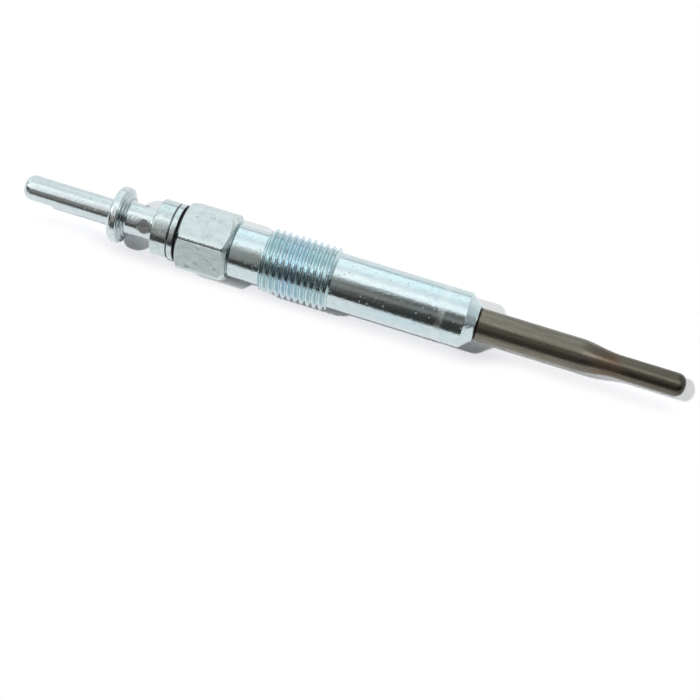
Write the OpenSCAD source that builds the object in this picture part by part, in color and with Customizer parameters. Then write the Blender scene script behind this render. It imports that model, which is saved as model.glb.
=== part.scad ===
// Sheathed-element diesel glow plug, lying on one flat of its hexagon.
// The axis runs along X, with the contact pin towards -X and the heater tip towards +X.
// Z is up, and the origin lies under the middle of the plug, on the surface that it rests on.
// Every piece is drawn upright first: stations are heights along the axis from the free end of the pin.

/* [Terminal cap] */
// Diameter of the contact pin
pin_d = 4; // [3.4:0.1:4.6]
// Length of the contact pin in front of the snap flange
pin_length = 15; // [10:0.5:20]
// Radius of the rounded free end of the pin
pin_end_radius = 1.2; // [0.3:0.1:1.6]
// Diameter of the snap flange at its rim
rim_d = 8.9; // [8.2:0.1:9.6]
// Length of the rim
rim_length = 1.6; // [1.2:0.05:2.4]
// Radius of the rim's rounded edge towards the pin
rim_front_radius = 0.65; // [0.2:0.05:0.85]
// Radius of the rim's rounded edge towards the neck
rim_back_radius = 0.3; // [0.1:0.05:0.5]
// Number of rings that step down from the rim to the neck
step_count = 2; // [1:1:4]
// Length of each of those rings
step_length = 0.7; // [0.4:0.05:1]
// Length of the level land on each of those rings
land_length = 0.2; // [0.05:0.05:0.4]
// Diameter of the crimped neck
neck_d = 5.1; // [4.8:0.1:6]
// Length of the crimped neck
neck_length = 3.65; // [3:0.05:6]
// Number of crimp dimples round the neck
dimple_count = 4; // [2:1:4]
// Diameter of a crimp dimple at its floor
dimple_d = 2.2; // [1.4:0.1:2.3]
// Depth of a crimp dimple
dimple_depth = 0.27; // [0.11:0.02:0.45]
// Distance of the middle of the dimples from the shoulder
dimple_from_shoulder = 1.2; // [1.2:0.05:1.8]
// Turn of the dimples about the axis, from straight up
dimple_turn = 43; // [0:1:89]
// Length of the steep shoulder between the neck and the foot
shoulder_length = 0.55; // [0.3:0.05:2]
// Diameter of the foot
foot_d = 8.8; // [8.2:0.1:9.4]
// Length of the foot, with its groove and its end ring
foot_length = 3.7; // [2.6:0.05:5]
// Width of the groove round the foot
groove_width = 0.38; // [0.2:0.02:0.6]
// Depth of the groove round the foot
groove_depth = 0.4; // [0.1:0.05:0.6]
// Length of the ring between the groove and the end of the foot
end_ring_length = 0.9; // [0.5:0.05:1.5]
// Radius of the rounded edges of the foot
foot_edge_radius = 0.15; // [0.05:0.05:0.2]

/* [Insulation] */
// Diameter of the insulating ring's collar
collar_d = 8.1; // [7.2:0.1:8.2]
// Length of the collar, which parts the foot from the hexagon
collar_length = 0.5; // [0.4:0.1:2]
// Length of the ring's spigot inside the housing
spigot_length = 2; // [1:0.1:4]
// Length of the squeezed O-ring along the axis
o_ring_length = 1.7; // [1.2:0.1:2.2]
// Radius of the O-ring's bulged corners
o_ring_edge_radius = 0.45; // [0.2:0.05:0.5]
// Clearance of the insulating ring round the rod and inside the housing
ring_clearance = 0.05; // [0.02:0.01:0.1]

/* [Housing] */
// Width of the hexagon across its flats
hex_af = 10; // [9.5:0.1:12]
// Length of the hexagon, with its end chamfers
hex_length = 8; // [6:0.25:14]
// Angle of the end chamfers from a square end
hex_chamfer_angle = 30; // [15:1:35]
// Diameter of the flat end face of the hexagon at the terminal
hex_face_d = 9.5; // [9:0.1:10]
// Diameter of the flat end face of the hexagon at the shank
hex_end_d = 9.2; // [8.8:0.1:9.8]
// Diameter of the plain shank between the hexagon and the thread
shank_d = 8.4; // [8:0.1:8.7]
// Length of the plain shank
shank_length = 5.25; // [2:0.25:12]
// Width of the relief groove where the shank meets the hexagon
relief_width = 0.4; // [0.35:0.05:0.8]
// Depth of the relief groove
relief_depth = 0.3; // [0.1:0.05:0.35]
// Outer diameter of the thread
thread_d = 10; // [9.7:0.05:10]
// Depth of the thread, cut by the chamfers at both of its ends
thread_depth = 0.61; // [0.5:0.01:0.62]
// Length of the thread
thread_length = 11.1; // [8:0.1:16]
// Diameter of the barrel
barrel_d = 8.6; // [8.2:0.1:8.7]
// Length of the barrel
barrel_length = 20.6; // [19:0.2:40]
// Distance of the turned band from the conical seat
band_from_seat = 3.1; // [2:0.1:8]
// Length of the turned band in the barrel
band_length = 2.2; // [1.4:0.1:4]
// Depth of the turned band
band_depth = 0.05; // [0.02:0.01:0.15]
// Length of the conical seat
seat_length = 1.7; // [0.8:0.1:2.5]
// Width of the nose's end face, round the recess
nose_rim = 0.25; // [0.15:0.05:0.8]
// Width of the narrow recess round the sheath at the nose
recess_width = 0.2; // [0.1:0.05:0.4]
// Depth of that recess
recess_depth = 0.5; // [0.2:0.1:1.5]
// Diameter of the counterbore for the O-ring and the spigot
counterbore_d = 6.4; // [6:0.1:7]
// Diameter of the bore round the rod
rod_bore_d = 5.7; // [5.5:0.1:5.9]
// Length of the bore that grips the sheath
press_length = 16; // [8:0.5:18]

/* [Heater] */
// Diameter of the sheath
sheath_d = 5; // [4.8:0.1:5.4]
// Wall of the sheath
sheath_wall = 0.55; // [0.4:0.05:0.65]
// Length of the sheath between the nose and the swage
sheath_straight = 15.55; // [8:0.05:25]
// Length of the swage, where the sheath narrows
swage_length = 6.2; // [3:0.1:10]
// Diameter of the sheath at the tip
tip_d = 3.6; // [3.2:0.1:4]
// Length of the narrow part of the sheath
tip_length = 10.2; // [8:0.1:16]
// Radius of the rounded tip
tip_radius = 1.4; // [0.3:0.1:1.5]
// Thickness of the closed end of the sheath
tip_wall = 0.8; // [0.6:0.1:1.4]
// Length of sheath that stands behind the gripping bore
sheath_tail = 2; // [0.5:0.5:4]
// Length of the rubber seal in the mouth of the sheath
seal_length = 2.5; // [1:0.5:5]
// Diameter of the centre rod
rod_d = 3; // [2.6:0.1:3.2]

/* [Coils] */
// Mean diameter of both coils
coil_d = 1.5; // [1.3:0.1:1.6]
// Diameter of the heating wire
heating_wire_d = 0.3; // [0.2:0.02:0.34]
// Length of the heating coil
heating_length = 7; // [5:0.5:8]
// Length of the heating coil's straight tail, which is joined to the closed tip
tail_length = 1.2; // [0.8:0.1:2]
// Radius of the bend into the tail
bend_radius = 0.35; // [0.2:0.05:0.45]
// Number of turns of the heating coil
heating_turns = 10; // [7:1:12]
// Diameter of the control wire
control_wire_d = 0.3; // [0.2:0.02:0.34]
// Length of the control coil
control_length = 16; // [10:0.5:20]
// Number of turns of the control coil
control_turns = 16; // [10:1:20]
// Length of the rod's spigot inside the control coil
coil_seat_length = 1.6; // [0.8:0.1:3]
// Clearance between the wires and what they lie in
wire_clearance = 0.04; // [0.02:0.01:0.06]

/* [Hidden] */

// Faces of round solids, and points of a rounded edge, of the swage, and round and along a wire
$fn = 96;
edge_steps = 6;
swage_steps = 20;
wire_sides = 6;
turn_steps = 16;
bend_steps = 5;
tail_steps = 1;
// Sides of the hexagon, and the angle from a flat to the next corner
hex_sides = 6;
hex_half_side = 180 / hex_sides;
// Length by which a cutting shape passes the face that it opens
overcut = 1;
// Angle of the thread's end chamfers from the axis, and of the sides of the turned band
thread_chamfer_angle = 60;
band_side_angle = 10;
// Height of the punch that presses a dimple, and its widening from the floor to that height
punch_height = 0.6;
punch_flare = 1.12;

// Radii of what is given as a diameter, and of what lies round another piece
pin_r = pin_d / 2;
rim_r = rim_d / 2;
neck_r = neck_d / 2;
foot_r = foot_d / 2;
hex_r = hex_af / 2 / cos(hex_half_side);
shank_r = shank_d / 2;
thread_r = thread_d / 2;
root_r = thread_r - thread_depth;
barrel_r = barrel_d / 2;
sheath_r = sheath_d / 2;
recess_r = sheath_r + recess_width;
nose_r = recess_r + nose_rim;
tip_r = tip_d / 2;
rod_r = rod_d / 2;
coil_r = coil_d / 2;

// Stations of the outside, from the free end of the pin to the heater tip
flange_at = pin_length;
steps_at = flange_at + rim_length;
neck_at = steps_at + step_count * step_length;
shoulder_at = neck_at + neck_length;
foot_at = shoulder_at + shoulder_length;
collar_at = foot_at + foot_length;
hex_at = collar_at + collar_length;
shank_at = hex_at + hex_length;
thread_at = shank_at + shank_length;
barrel_at = thread_at + thread_length;
seat_at = barrel_at + barrel_length;
nose_at = seat_at + seat_length;
swage_at = nose_at + sheath_straight;
tip_at = swage_at + swage_length;
plug_length = tip_at + tip_length;

// Stations of the inside
o_ring_at = hex_at + spigot_length;
counterbore_end = o_ring_at + o_ring_length;
press_at = nose_at - press_length;
sheath_at = press_at - sheath_tail;
fill_at = sheath_at + seal_length;
tip_bore_end = plug_length - tip_wall;
tail_at = tip_bore_end - tail_length;
coil_joint_at = tail_at - heating_length;
coil_seat_at = coil_joint_at - control_length;
coil_seat_r = coil_r - control_wire_d / 2 - 2 * wire_clearance;
groove_at = collar_at - end_ring_length - groove_width;
band_at = seat_at - band_from_seat - band_length;
dimple_at = shoulder_at - dimple_from_shoulder;

// The plug rests on whichever of the hexagon and the thread is the wider
axis_height = max(hex_af, thread_d) / 2;

// Points [radius, station] of an arc round a centre. Angle 0 points outwards and 90 towards the tip.
function arc(centre, radius, from, to) = [
    for (i = [0:edge_steps])
    let (a = from + (to - from) * i / edge_steps)
    centre + radius * [cos(a), sin(a)]
];

// Points of the smooth swage between two radii, the same for the outside and the bore of the sheath
function swage(from_r, to_r) = [
    for (i = [0:swage_steps])
    let (share = i / swage_steps)
    [from_r + (to_r - from_r) * (1 - cos(180 * share)) / 2, swage_at + swage_length * share]
];

// The list in the opposite order
function reversed(list) = [for (i = [len(list) - 1:-1:0]) list[i]];

// Lays a piece that is drawn upright along X, at the height at which the plug rests
module lie() {
    translate([-plug_length / 2, 0, axis_height]) rotate([0, 90, 0]) children();
}

// A turned solid from its outline of [radius, station] points
module turned(outline) {
    rotate_extrude() polygon(outline);
}

// A round solid between two stations
module round_bar(d, from, to) {
    translate([0, 0, from]) cylinder(d = d, h = to - from);
}

// The level land of one ring behind the rim. A slope that faces the tip leads from it to the next.
function step_land(index) =
    let (first_r = rim_r - rim_back_radius)
    let (land_r = first_r - (first_r - neck_r) / step_count * index)
    let (from = steps_at + step_length * index)
    [[land_r, from], [land_r, from + land_length]];

// The outline of the terminal cap, from the free end of the pin to the end of the foot
function cap_outline() =
    let (shoulder_tilt = atan2(foot_r - neck_r, shoulder_length))
    concat(
        [[0, 0]],
        arc([pin_r - pin_end_radius, pin_end_radius], pin_end_radius, -90, 0),
        [[pin_r, flange_at]],
        arc([rim_r - rim_front_radius, flange_at + rim_front_radius], rim_front_radius, -90, 0),
        arc([rim_r - rim_back_radius, steps_at - rim_back_radius], rim_back_radius, 0, 90),
        [for (i = [0:step_count - 1]) each step_land(i)],
        [[neck_r, neck_at], [neck_r, shoulder_at]],
        arc([foot_r - foot_edge_radius, foot_at + foot_edge_radius], foot_edge_radius, -shoulder_tilt, 0),
        [
            [foot_r, groove_at],
            [foot_r - groove_depth, groove_at],
            [foot_r - groove_depth, groove_at + groove_width],
            [foot_r, groove_at + groove_width]
        ],
        arc([foot_r - foot_edge_radius, collar_at - foot_edge_radius], foot_edge_radius, 0, 90),
        [[0, collar_at]]
    );

// The crimp dimples, as the shapes that press into the neck
module dimples() {
    floor_r = neck_r - dimple_depth;
    for (i = [0:dimple_count - 1])
        translate([0, 0, dimple_at])
            rotate([0, 0, dimple_turn + 360 / dimple_count * i])
                translate([-floor_r, 0, 0])
                    rotate([0, -90, 0])
                        cylinder(d1 = dimple_d, d2 = dimple_d * punch_flare, h = punch_height);
}

module terminal_cap() {
    color([0.80, 0.87, 0.88])
        lie() difference() {
            turned(cap_outline());
            round_bar(rod_d, neck_at, collar_at + overcut);
            dimples();
        }
}

module insulating_ring() {
    color([0.05, 0.05, 0.05])
        lie() difference() {
            union() {
                round_bar(collar_d, collar_at, hex_at);
                round_bar(counterbore_d - 2 * ring_clearance, collar_at, o_ring_at);
            }
            round_bar(rod_d + 2 * ring_clearance, collar_at - overcut, o_ring_at + overcut);
        }
}

// The O-ring, squeezed flat against the rod, the housing, the spigot and the counterbore's floor
module o_ring() {
    inner = rod_r;
    outer = counterbore_d / 2;
    radius = o_ring_edge_radius;
    color([0.12, 0.12, 0.12])
        lie() turned(concat(
            arc([outer - radius, o_ring_at + radius], radius, -90, 0),
            arc([outer - radius, counterbore_end - radius], radius, 0, 90),
            arc([inner + radius, counterbore_end - radius], radius, 90, 180),
            arc([inner + radius, o_ring_at + radius], radius, 180, 270)
        ));
}

// The hexagon, with a conical chamfer at each end
module hexagon() {
    rise = tan(hex_chamfer_angle);
    face_r = hex_face_d / 2;
    end_r = hex_end_d / 2;
    intersection() {
        translate([0, 0, hex_at])
            rotate([0, 0, hex_half_side])
                cylinder(r = hex_r, h = hex_length, $fn = hex_sides);
        turned([
            [0, hex_at],
            [face_r, hex_at],
            [hex_r, hex_at + (hex_r - face_r) * rise],
            [hex_r, shank_at - (hex_r - end_r) * rise],
            [end_r, shank_at],
            [0, shank_at]
        ]);
    }
}

// The round part of the housing, from the hexagon to the nose
function stem_outline() =
    let (run = thread_depth / tan(thread_chamfer_angle))
    let (side = band_depth / tan(band_side_angle))
    [
        [0, hex_at + hex_length / 2],
        [shank_r - relief_depth, hex_at + hex_length / 2],
        [shank_r - relief_depth, shank_at + relief_width - relief_depth],
        [shank_r, shank_at + relief_width],
        [shank_r, thread_at],
        [root_r, thread_at],
        [thread_r, thread_at + run],
        [thread_r, barrel_at - run],
        [root_r, barrel_at],
        [barrel_r, barrel_at],
        [barrel_r, band_at],
        [barrel_r - band_depth, band_at + side],
        [barrel_r - band_depth, band_at + band_length - side],
        [barrel_r, band_at + band_length],
        [barrel_r, seat_at],
        [nose_r, nose_at],
        [0, nose_at]
    ];

module housing() {
    color([0.75, 0.83, 0.85])
        lie() difference() {
            union() {
                hexagon();
                turned(stem_outline());
            }
            round_bar(counterbore_d, hex_at - overcut, counterbore_end);
            round_bar(rod_bore_d, hex_at, press_at);
            round_bar(sheath_d, hex_at, nose_at + overcut);
            round_bar(2 * recess_r, nose_at - recess_depth, nose_at + overcut);
        }
}

module centre_rod() {
    color([0.55, 0.56, 0.57])
        lie() union() {
            round_bar(rod_d, neck_at, coil_seat_at);
            round_bar(2 * coil_seat_r, neck_at, coil_seat_at + coil_seat_length);
        }
}

module sheath_seal() {
    color([0.35, 0.12, 0.08])
        lie() difference() {
            round_bar(sheath_d - 2 * sheath_wall, sheath_at, fill_at);
            round_bar(rod_d, sheath_at - overcut, fill_at + overcut);
        }
}

// The bore of the sheath from the seal to the closed tip, as [radius, station] points
function bore_outline() = concat(
    swage(sheath_r - sheath_wall, tip_r - sheath_wall),
    [[tip_r - sheath_wall, tip_bore_end], [0, tip_bore_end]]
);

module heater_sheath() {
    color([0.36, 0.33, 0.28])
        lie() turned(concat(
            [[sheath_r, sheath_at]],
            swage(sheath_r, tip_r),
            arc([tip_r - tip_radius, plug_length - tip_radius], tip_radius, 0, 90),
            [[0, plug_length]],
            reversed(bore_outline()),
            [[sheath_r - sheath_wall, sheath_at]]
        ));
}

// Both coils follow one line, counted in steps: the control coil from the rod, then the heating coil,
// then a bend into a straight tail that meets the closed end of the sheath.
control_steps = control_turns * turn_steps;
coil_steps = control_steps + heating_turns * turn_steps;
bend_end = coil_steps + bend_steps;
tail_end = bend_end + tail_steps;
control_from = coil_seat_at + control_wire_d / 2 + wire_clearance;

// Angle of an arc of a given length, in degrees
function arc_degrees(length, radius) = 180 / PI * length / radius;

// Share of the bend that lies behind a step, as an angle
function bend_angle(i) = 90 * min(max(i - coil_steps, 0), bend_steps) / bend_steps;

// Turn about the axis at a step, in degrees
function coil_turn(i) =
    360 * min(i, coil_steps) / turn_steps + arc_degrees(bend_radius * sin(bend_angle(i)), coil_r);

// Station at a step
function coil_station(i) =
    i <= control_steps ? control_from + (coil_joint_at - control_from) * i / control_steps
    : i <= coil_steps ? coil_joint_at + heating_length * (i - control_steps) / (coil_steps - control_steps)
    : i <= bend_end ? tail_at + bend_radius * (1 - cos(bend_angle(i)))
    : tip_bore_end;

// Slope of the line at a step, as an angle from a level turn
function coil_slope(i) =
    i <= control_steps ? atan2((coil_joint_at - control_from) / control_turns, PI * coil_d)
    : i < coil_steps ? atan2(heating_length / heating_turns, PI * coil_d)
    : bend_angle(i);

// One ring of points round the wire at a step
function wire_ring(i, wire_r) =
    let (turn = coil_turn(i))
    let (slope = coil_slope(i))
    let (outward = [cos(turn), sin(turn), 0])
    let (across = [sin(turn) * sin(slope), -cos(turn) * sin(slope), cos(slope)])
    let (centre = coil_r * outward + [0, 0, coil_station(i)])
    [
        for (k = [0:wire_sides - 1])
        let (a = 360 * k / wire_sides)
        centre + wire_r * (cos(a) * outward + sin(a) * across)
    ];

// A wound wire between two steps
module wound_wire(from, to, wire_d) {
    rings = to - from + 1;
    points = [for (i = [from:to]) each wire_ring(i, wire_d / 2)];
    sides = [
        for (i = [0:rings - 2])
        for (k = [0:wire_sides - 1])
        let (next = (k + 1) % wire_sides)
        let (low = i * wire_sides)
        let (high = low + wire_sides)
        each [[low + k, high + k, high + next], [low + k, high + next, low + next]]
    ];
    first = [for (k = [0:wire_sides - 1]) k];
    last = [for (k = [wire_sides - 1:-1:0]) (rings - 1) * wire_sides + k];
    polyhedron(points = points, faces = concat([first], sides, [last]));
}

module control_coil() {
    color([0.62, 0.62, 0.60])
        lie() wound_wire(0, control_steps, control_wire_d);
}

module heating_coil() {
    color([0.70, 0.66, 0.58])
        lie() wound_wire(control_steps, tail_end, heating_wire_d);
}

// The room that the coils take up in the magnesia: a chamber round the rod's spigot,
// a ring-shaped channel from there to the bend, and a hole for the tail
module coil_room() {
    half_wire = max(control_wire_d, heating_wire_d) / 2 + wire_clearance;
    chamber_end = coil_seat_at + coil_seat_length;
    channel_end = tail_at + bend_radius + wire_clearance;
    round_bar(2 * (coil_r + half_wire), coil_seat_at, chamber_end);
    difference() {
        round_bar(2 * (coil_r + half_wire), coil_seat_at, channel_end);
        round_bar(2 * (coil_r - half_wire), chamber_end, channel_end + overcut);
    }
    rotate([0, 0, coil_turn(bend_end)])
        translate([coil_r, 0, 0])
            round_bar(heating_wire_d + wire_clearance, tail_at, tip_bore_end + overcut);
}

module magnesia_fill() {
    color([0.93, 0.92, 0.88])
        lie() difference() {
            turned(concat([[0, fill_at], [sheath_r - sheath_wall, fill_at]], bore_outline()));
            round_bar(rod_d, fill_at - overcut, coil_seat_at);
            coil_room();
        }
}

terminal_cap();
insulating_ring();
o_ring();
housing();
centre_rod();
sheath_seal();
heater_sheath();
magnesia_fill();
control_coil();
heating_coil();
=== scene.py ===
"""Looks of a sheathed-element diesel glow plug that lies on one flat of its hexagon.

Sizes are in millimetres. A station is a distance along the axis from the free end of the contact pin.
Meshes are written in metres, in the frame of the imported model.
"""

import logging
import math
from dataclasses import dataclass
from enum import Enum
from typing import Callable, Union

import bmesh
import bpy
import numpy as np
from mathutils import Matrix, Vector


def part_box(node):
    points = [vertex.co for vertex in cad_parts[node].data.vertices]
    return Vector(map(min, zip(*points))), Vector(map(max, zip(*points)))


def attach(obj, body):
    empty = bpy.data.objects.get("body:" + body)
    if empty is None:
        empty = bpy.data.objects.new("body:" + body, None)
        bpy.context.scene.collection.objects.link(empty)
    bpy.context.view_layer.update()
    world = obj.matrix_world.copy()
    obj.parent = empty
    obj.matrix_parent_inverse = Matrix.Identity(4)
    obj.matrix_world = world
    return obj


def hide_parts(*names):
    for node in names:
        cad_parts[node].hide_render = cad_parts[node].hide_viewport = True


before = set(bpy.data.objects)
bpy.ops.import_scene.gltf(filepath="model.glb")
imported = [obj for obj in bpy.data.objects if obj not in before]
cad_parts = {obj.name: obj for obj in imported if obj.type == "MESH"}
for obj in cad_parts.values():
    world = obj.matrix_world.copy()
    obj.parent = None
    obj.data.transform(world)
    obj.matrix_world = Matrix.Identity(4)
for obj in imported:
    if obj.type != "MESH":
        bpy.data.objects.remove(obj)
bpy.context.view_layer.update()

LOG = logging.getLogger("glow_plug")
MM = 0.001
BODY = "root"

Colour = tuple[float, float, float]
Point = tuple[float, float]
Track = tuple[Point, ...]
Stops = tuple[tuple[float, Colour], ...]
Operand = Union["Value", float]
RadiusRule = Callable[[np.ndarray, np.ndarray, np.ndarray], np.ndarray]

WHITE: Colour = (1.0, 1.0, 1.0)


class Slot(Enum):
    """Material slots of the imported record."""

    CAP = "zinc_plated_cap"
    HOUSING = "zinc_plated_housing"
    POLYMER = "black_polymer"
    RUBBER = "seal_rubber"
    ROD = "rod_steel"
    ALLOY = "oxidised_alloy"
    MAGNESIA = "magnesia"
    WIRE = "resistance_wire"


class Ends(Enum):
    """How a turned outline runs: from axis to axis, or round in a closed loop."""

    ON_AXIS = "on_axis"
    LOOP = "loop"


@dataclass(frozen=True)
class Axis:
    """Where the plug's axis lies in the frame, in metres."""

    start: float
    height: float

    @classmethod
    def from_frame(cls) -> "Axis":
        """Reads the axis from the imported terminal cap.

        Returns:
            The axis, with station 0 at the free end of the pin.
        """
        low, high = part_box("terminal_cap")
        return cls(low.x, (low.z + high.z) / 2)

    def station(self, x: float) -> float:
        """Turns a place along X in metres into a station."""
        return (x - self.start) / MM

    def x(self, station: float) -> float:
        """Turns a station into a place along X in metres."""
        return self.start + station * MM

    def place(self, station: float, angle: float, radius: float) -> tuple[float, float, float]:
        """Turns a station, an angle from straight up towards -Y and a radius into a point in metres."""
        across, up = radius * MM * math.sin(angle), radius * MM * math.cos(angle)
        return self.x(station), -across, self.height + up


class Value:
    """A node socket that takes part in Python arithmetic."""

    def __init__(self, graph: "Graph", socket: bpy.types.NodeSocket) -> None:
        """Wraps an output socket of a graph."""
        self.graph = graph
        self.socket = socket

    def __add__(self, other: Operand) -> "Value":
        """Adds a number or value."""
        return self.graph.math("ADD", self, other)

    def __radd__(self, other: Operand) -> "Value":
        """Adds to a number."""
        return self.graph.math("ADD", other, self)

    def __sub__(self, other: Operand) -> "Value":
        """Subtracts a number or value."""
        return self.graph.math("SUBTRACT", self, other)

    def __rsub__(self, other: Operand) -> "Value":
        """Subtracts from a number."""
        return self.graph.math("SUBTRACT", other, self)

    def __mul__(self, other: Operand) -> "Value":
        """Multiplies by a number or value."""
        return self.graph.math("MULTIPLY", self, other)

    def __rmul__(self, other: Operand) -> "Value":
        """Multiplies a number."""
        return self.graph.math("MULTIPLY", other, self)

    def __truediv__(self, other: Operand) -> "Value":
        """Divides by a number or value."""
        return self.graph.math("DIVIDE", self, other)

    def __rtruediv__(self, other: Operand) -> "Value":
        """Divides a number."""
        return self.graph.math("DIVIDE", other, self)


class Graph:
    """A node tree to which nodes are added by type, settings and inputs."""

    def __init__(self, tree: bpy.types.NodeTree) -> None:
        """Wraps a shader or geometry tree."""
        self.tree = tree

    def add(
        self,
        kind: str,
        settings: dict | None = None,
        inputs: dict | None = None,
        output: int | str = 0,
    ) -> Value:
        """Adds one node.

        Args:
            kind: Blender's type name of the node.
            settings: Properties of the node, set first; "stops" gives the stops of a colour ramp.
            inputs: Numbers, colours or values by the socket's name or number.
            output: The output socket that is handed back.

        Returns:
            That output as a value; a node without outputs hands back its first input.
        """
        node = self.tree.nodes.new(kind)
        for name, setting in (settings or {}).items():
            if name == "stops":
                self.set_stops(node.color_ramp, setting)
            else:
                setattr(node, name, setting)
        for key, given in (inputs or {}).items():
            self.feed(node.inputs[key], given)
        return Value(self, node.outputs[output] if len(node.outputs) else node.inputs[0])

    def feed(self, socket: bpy.types.NodeSocket, given: object) -> None:
        """Links a value to a socket, or sets a constant there.

        Args:
            socket: The input socket.
            given: A value, a number, a colour or a vector.
        """
        if isinstance(given, Value):
            self.tree.links.new(given.socket, socket)
        elif socket.type == "RGBA":
            socket.default_value = (*given, 1.0)
        else:
            socket.default_value = given

    @staticmethod
    def set_stops(ramp: bpy.types.ColorRamp, stops: Stops) -> None:
        """Gives a colour ramp its stops.

        Args:
            ramp: The ramp of a fresh node.
            stops: Places from 0 to 1 with their colours, in order.
        """
        while len(ramp.elements) < len(stops):
            ramp.elements.new(1.0)
        for element, (place, colour) in zip(ramp.elements, stops):
            element.position = place
            element.color = (*colour, 1.0)

    def math(self, operation: str, *operands: Operand) -> Value:
        """Adds a Math node on numbers or values."""
        return self.add("ShaderNodeMath", {"operation": operation}, dict(enumerate(operands)))

    def split(self, vector: Value) -> tuple[Value, Value, Value]:
        """Splits a vector into its three parts."""
        node = self.add("ShaderNodeSeparateXYZ", inputs={0: vector}).socket.node
        return tuple(Value(self, socket) for socket in node.outputs)

    def join(self, x: Operand, y: Operand, z: Operand) -> Value:
        """Joins three parts into a vector."""
        return self.add("ShaderNodeCombineXYZ", inputs={0: x, 1: y, 2: z})

    def smooth(self, given: Operand, low: float, high: float) -> Value:
        """Rises smoothly from 0 at low to 1 at high."""
        inputs = {"Value": given, "From Min": low, "From Max": high}
        return self.add("ShaderNodeMapRange", {"interpolation_type": "SMOOTHSTEP"}, inputs)

    def mix(self, share: Operand, first: Value | Colour, second: Value | Colour) -> Value:
        """Mixes two colours by a share from 0 to 1."""
        return self.add("ShaderNodeMix", {"data_type": "RGBA"}, {0: share, 6: first, 7: second}, 2)

    def noise(self, vector: Value, scale: float, detail: float = 2.0, rough: float = 0.5) -> Value:
        """Adds a noise pattern, mostly between 0.3 and 0.7."""
        inputs = {"Vector": vector, "Scale": scale, "Detail": detail, "Roughness": rough}
        return self.add("ShaderNodeTexNoise", inputs=inputs)

    def ramp(self, given: Value, stops: Stops) -> Value:
        """Colours a value from 0 to 1 by a ramp."""
        return self.add("ShaderNodeValToRGB", {"stops": stops}, {0: given})

    def length(self, first: Value, second: Value) -> Value:
        """Length of a plane vector from its two parts."""
        return self.math("SQRT", first * first + second * second)

    def window(self, given: Value, rise: Point, fall: Point) -> Value:
        """Rises smoothly from 0 to 1 over one stretch, and sinks to 0 again over a later one."""
        return self.smooth(given, *rise) * self.smooth(given, fall[1], fall[0])


def empty_tree(owner: bpy.types.ID) -> bpy.types.NodeTree:
    """Switches on the nodes of a new material or world and clears them.

    Args:
        owner: The material or world.

    Returns:
        Its empty shader tree.
    """
    owner.use_nodes = True
    owner.node_tree.nodes.clear()
    return owner.node_tree


@dataclass(frozen=True)
class Pattern:
    """A cloudy pattern: its scales along and across the axis per millimetre, its detail and contrast."""

    along: float
    across: float
    detail: float
    rough: float = 0.6
    contrast: Point | None = None


@dataclass(frozen=True)
class Nicks:
    """Sparse nicks: cells per millimetre, radius as a share of a cell, and share of the cells left empty.

    The core is the share of the radius that lies at full depth.
    """

    per_mm: float
    size: float
    rarity: float
    core: float = 0.4
    soft: float = 0.03


class Surface(Graph):
    """The shader tree of one material, with the plug's own coordinates at hand in millimetres."""

    def __init__(self, name: str, axis: Axis) -> None:
        """Starts an empty material.

        Args:
            name: Name of the material.
            axis: Where the plug's axis lies.
        """
        self.material = bpy.data.materials.new(name)
        super().__init__(empty_tree(self.material))
        x, y, z = self.split(self.add("ShaderNodeTexCoord", output="Object"))
        self.station = (x - axis.start) / MM
        self.side = y / MM
        self.lift = (z - axis.height) / MM
        self.spot = self.join(self.station, self.side, self.lift)

    def pattern(self, given: Pattern) -> Value:
        """Lays a cloudy pattern over the plug.

        Args:
            given: The pattern.

        Returns:
            A value from 0 to 1, with its contrast raised where the pattern asks for it.
        """
        place = self.join(self.station * given.along, self.side * given.across, self.lift * given.across)
        cloud = self.noise(place, 1.0, given.detail, given.rough)
        return cloud if given.contrast is None else self.smooth(cloud, *given.contrast)

    def grain(self, per_mm: float, detail: float = 4.0, rough: float = 0.6) -> Value:
        """A fine, even grain."""
        return self.noise(self.spot, per_mm, detail, rough)

    def wander(self, reach: float, per_mm: float, detail: float = 3.0) -> Value:
        """A length that wanders slowly about 0."""
        return reach * (self.noise(self.spot, per_mm, detail) - 0.5)

    def nicks(self, given: Nicks) -> Value:
        """Scatters sparse nicks.

        Args:
            given: How they lie.

        Returns:
            A mask that is 1 inside a nick.
        """
        cells = self.add("ShaderNodeTexVoronoi", inputs={"Vector": self.spot, "Scale": given.per_mm})
        pick, _, _ = self.split(Value(self, cells.socket.node.outputs["Color"]))
        inside = self.smooth(cells, given.size, given.size * given.core)
        return inside * self.smooth(pick, given.rarity - given.soft, given.rarity + given.soft)

    def between(self, low: float, high: float, soft: float = 0.08) -> Value:
        """A mask that is 1 between two stations."""
        return self.window(self.station, (low - soft, low + soft), (high - soft, high + soft))

    def bump(self, height: Value, depth: float, under: Value | None = None) -> Value:
        """Adds a bump of a height pattern.

        Args:
            height: The pattern.
            depth: Its depth in millimetres.
            under: Another bump that it lies over, if there is one.

        Returns:
            The bent normal.
        """
        inputs = {"Height": height, "Distance": depth * MM, "Strength": 1.0}
        if under is not None:
            inputs["Normal"] = under
        return self.add("ShaderNodeBump", inputs=inputs)

    def finish(self, **sockets: object) -> bpy.types.Material:
        """Ends the tree in a Principled shader.

        Args:
            **sockets: Values or constants by the shader's socket names, with _ for a space.

        Returns:
            The finished material.
        """
        inputs = {name.replace("_", " "): given for name, given in sockets.items()}
        shader = self.add("ShaderNodeBsdfPrincipled", inputs=inputs)
        self.add("ShaderNodeOutputMaterial", inputs={"Surface": shader})
        return self.material


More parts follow.
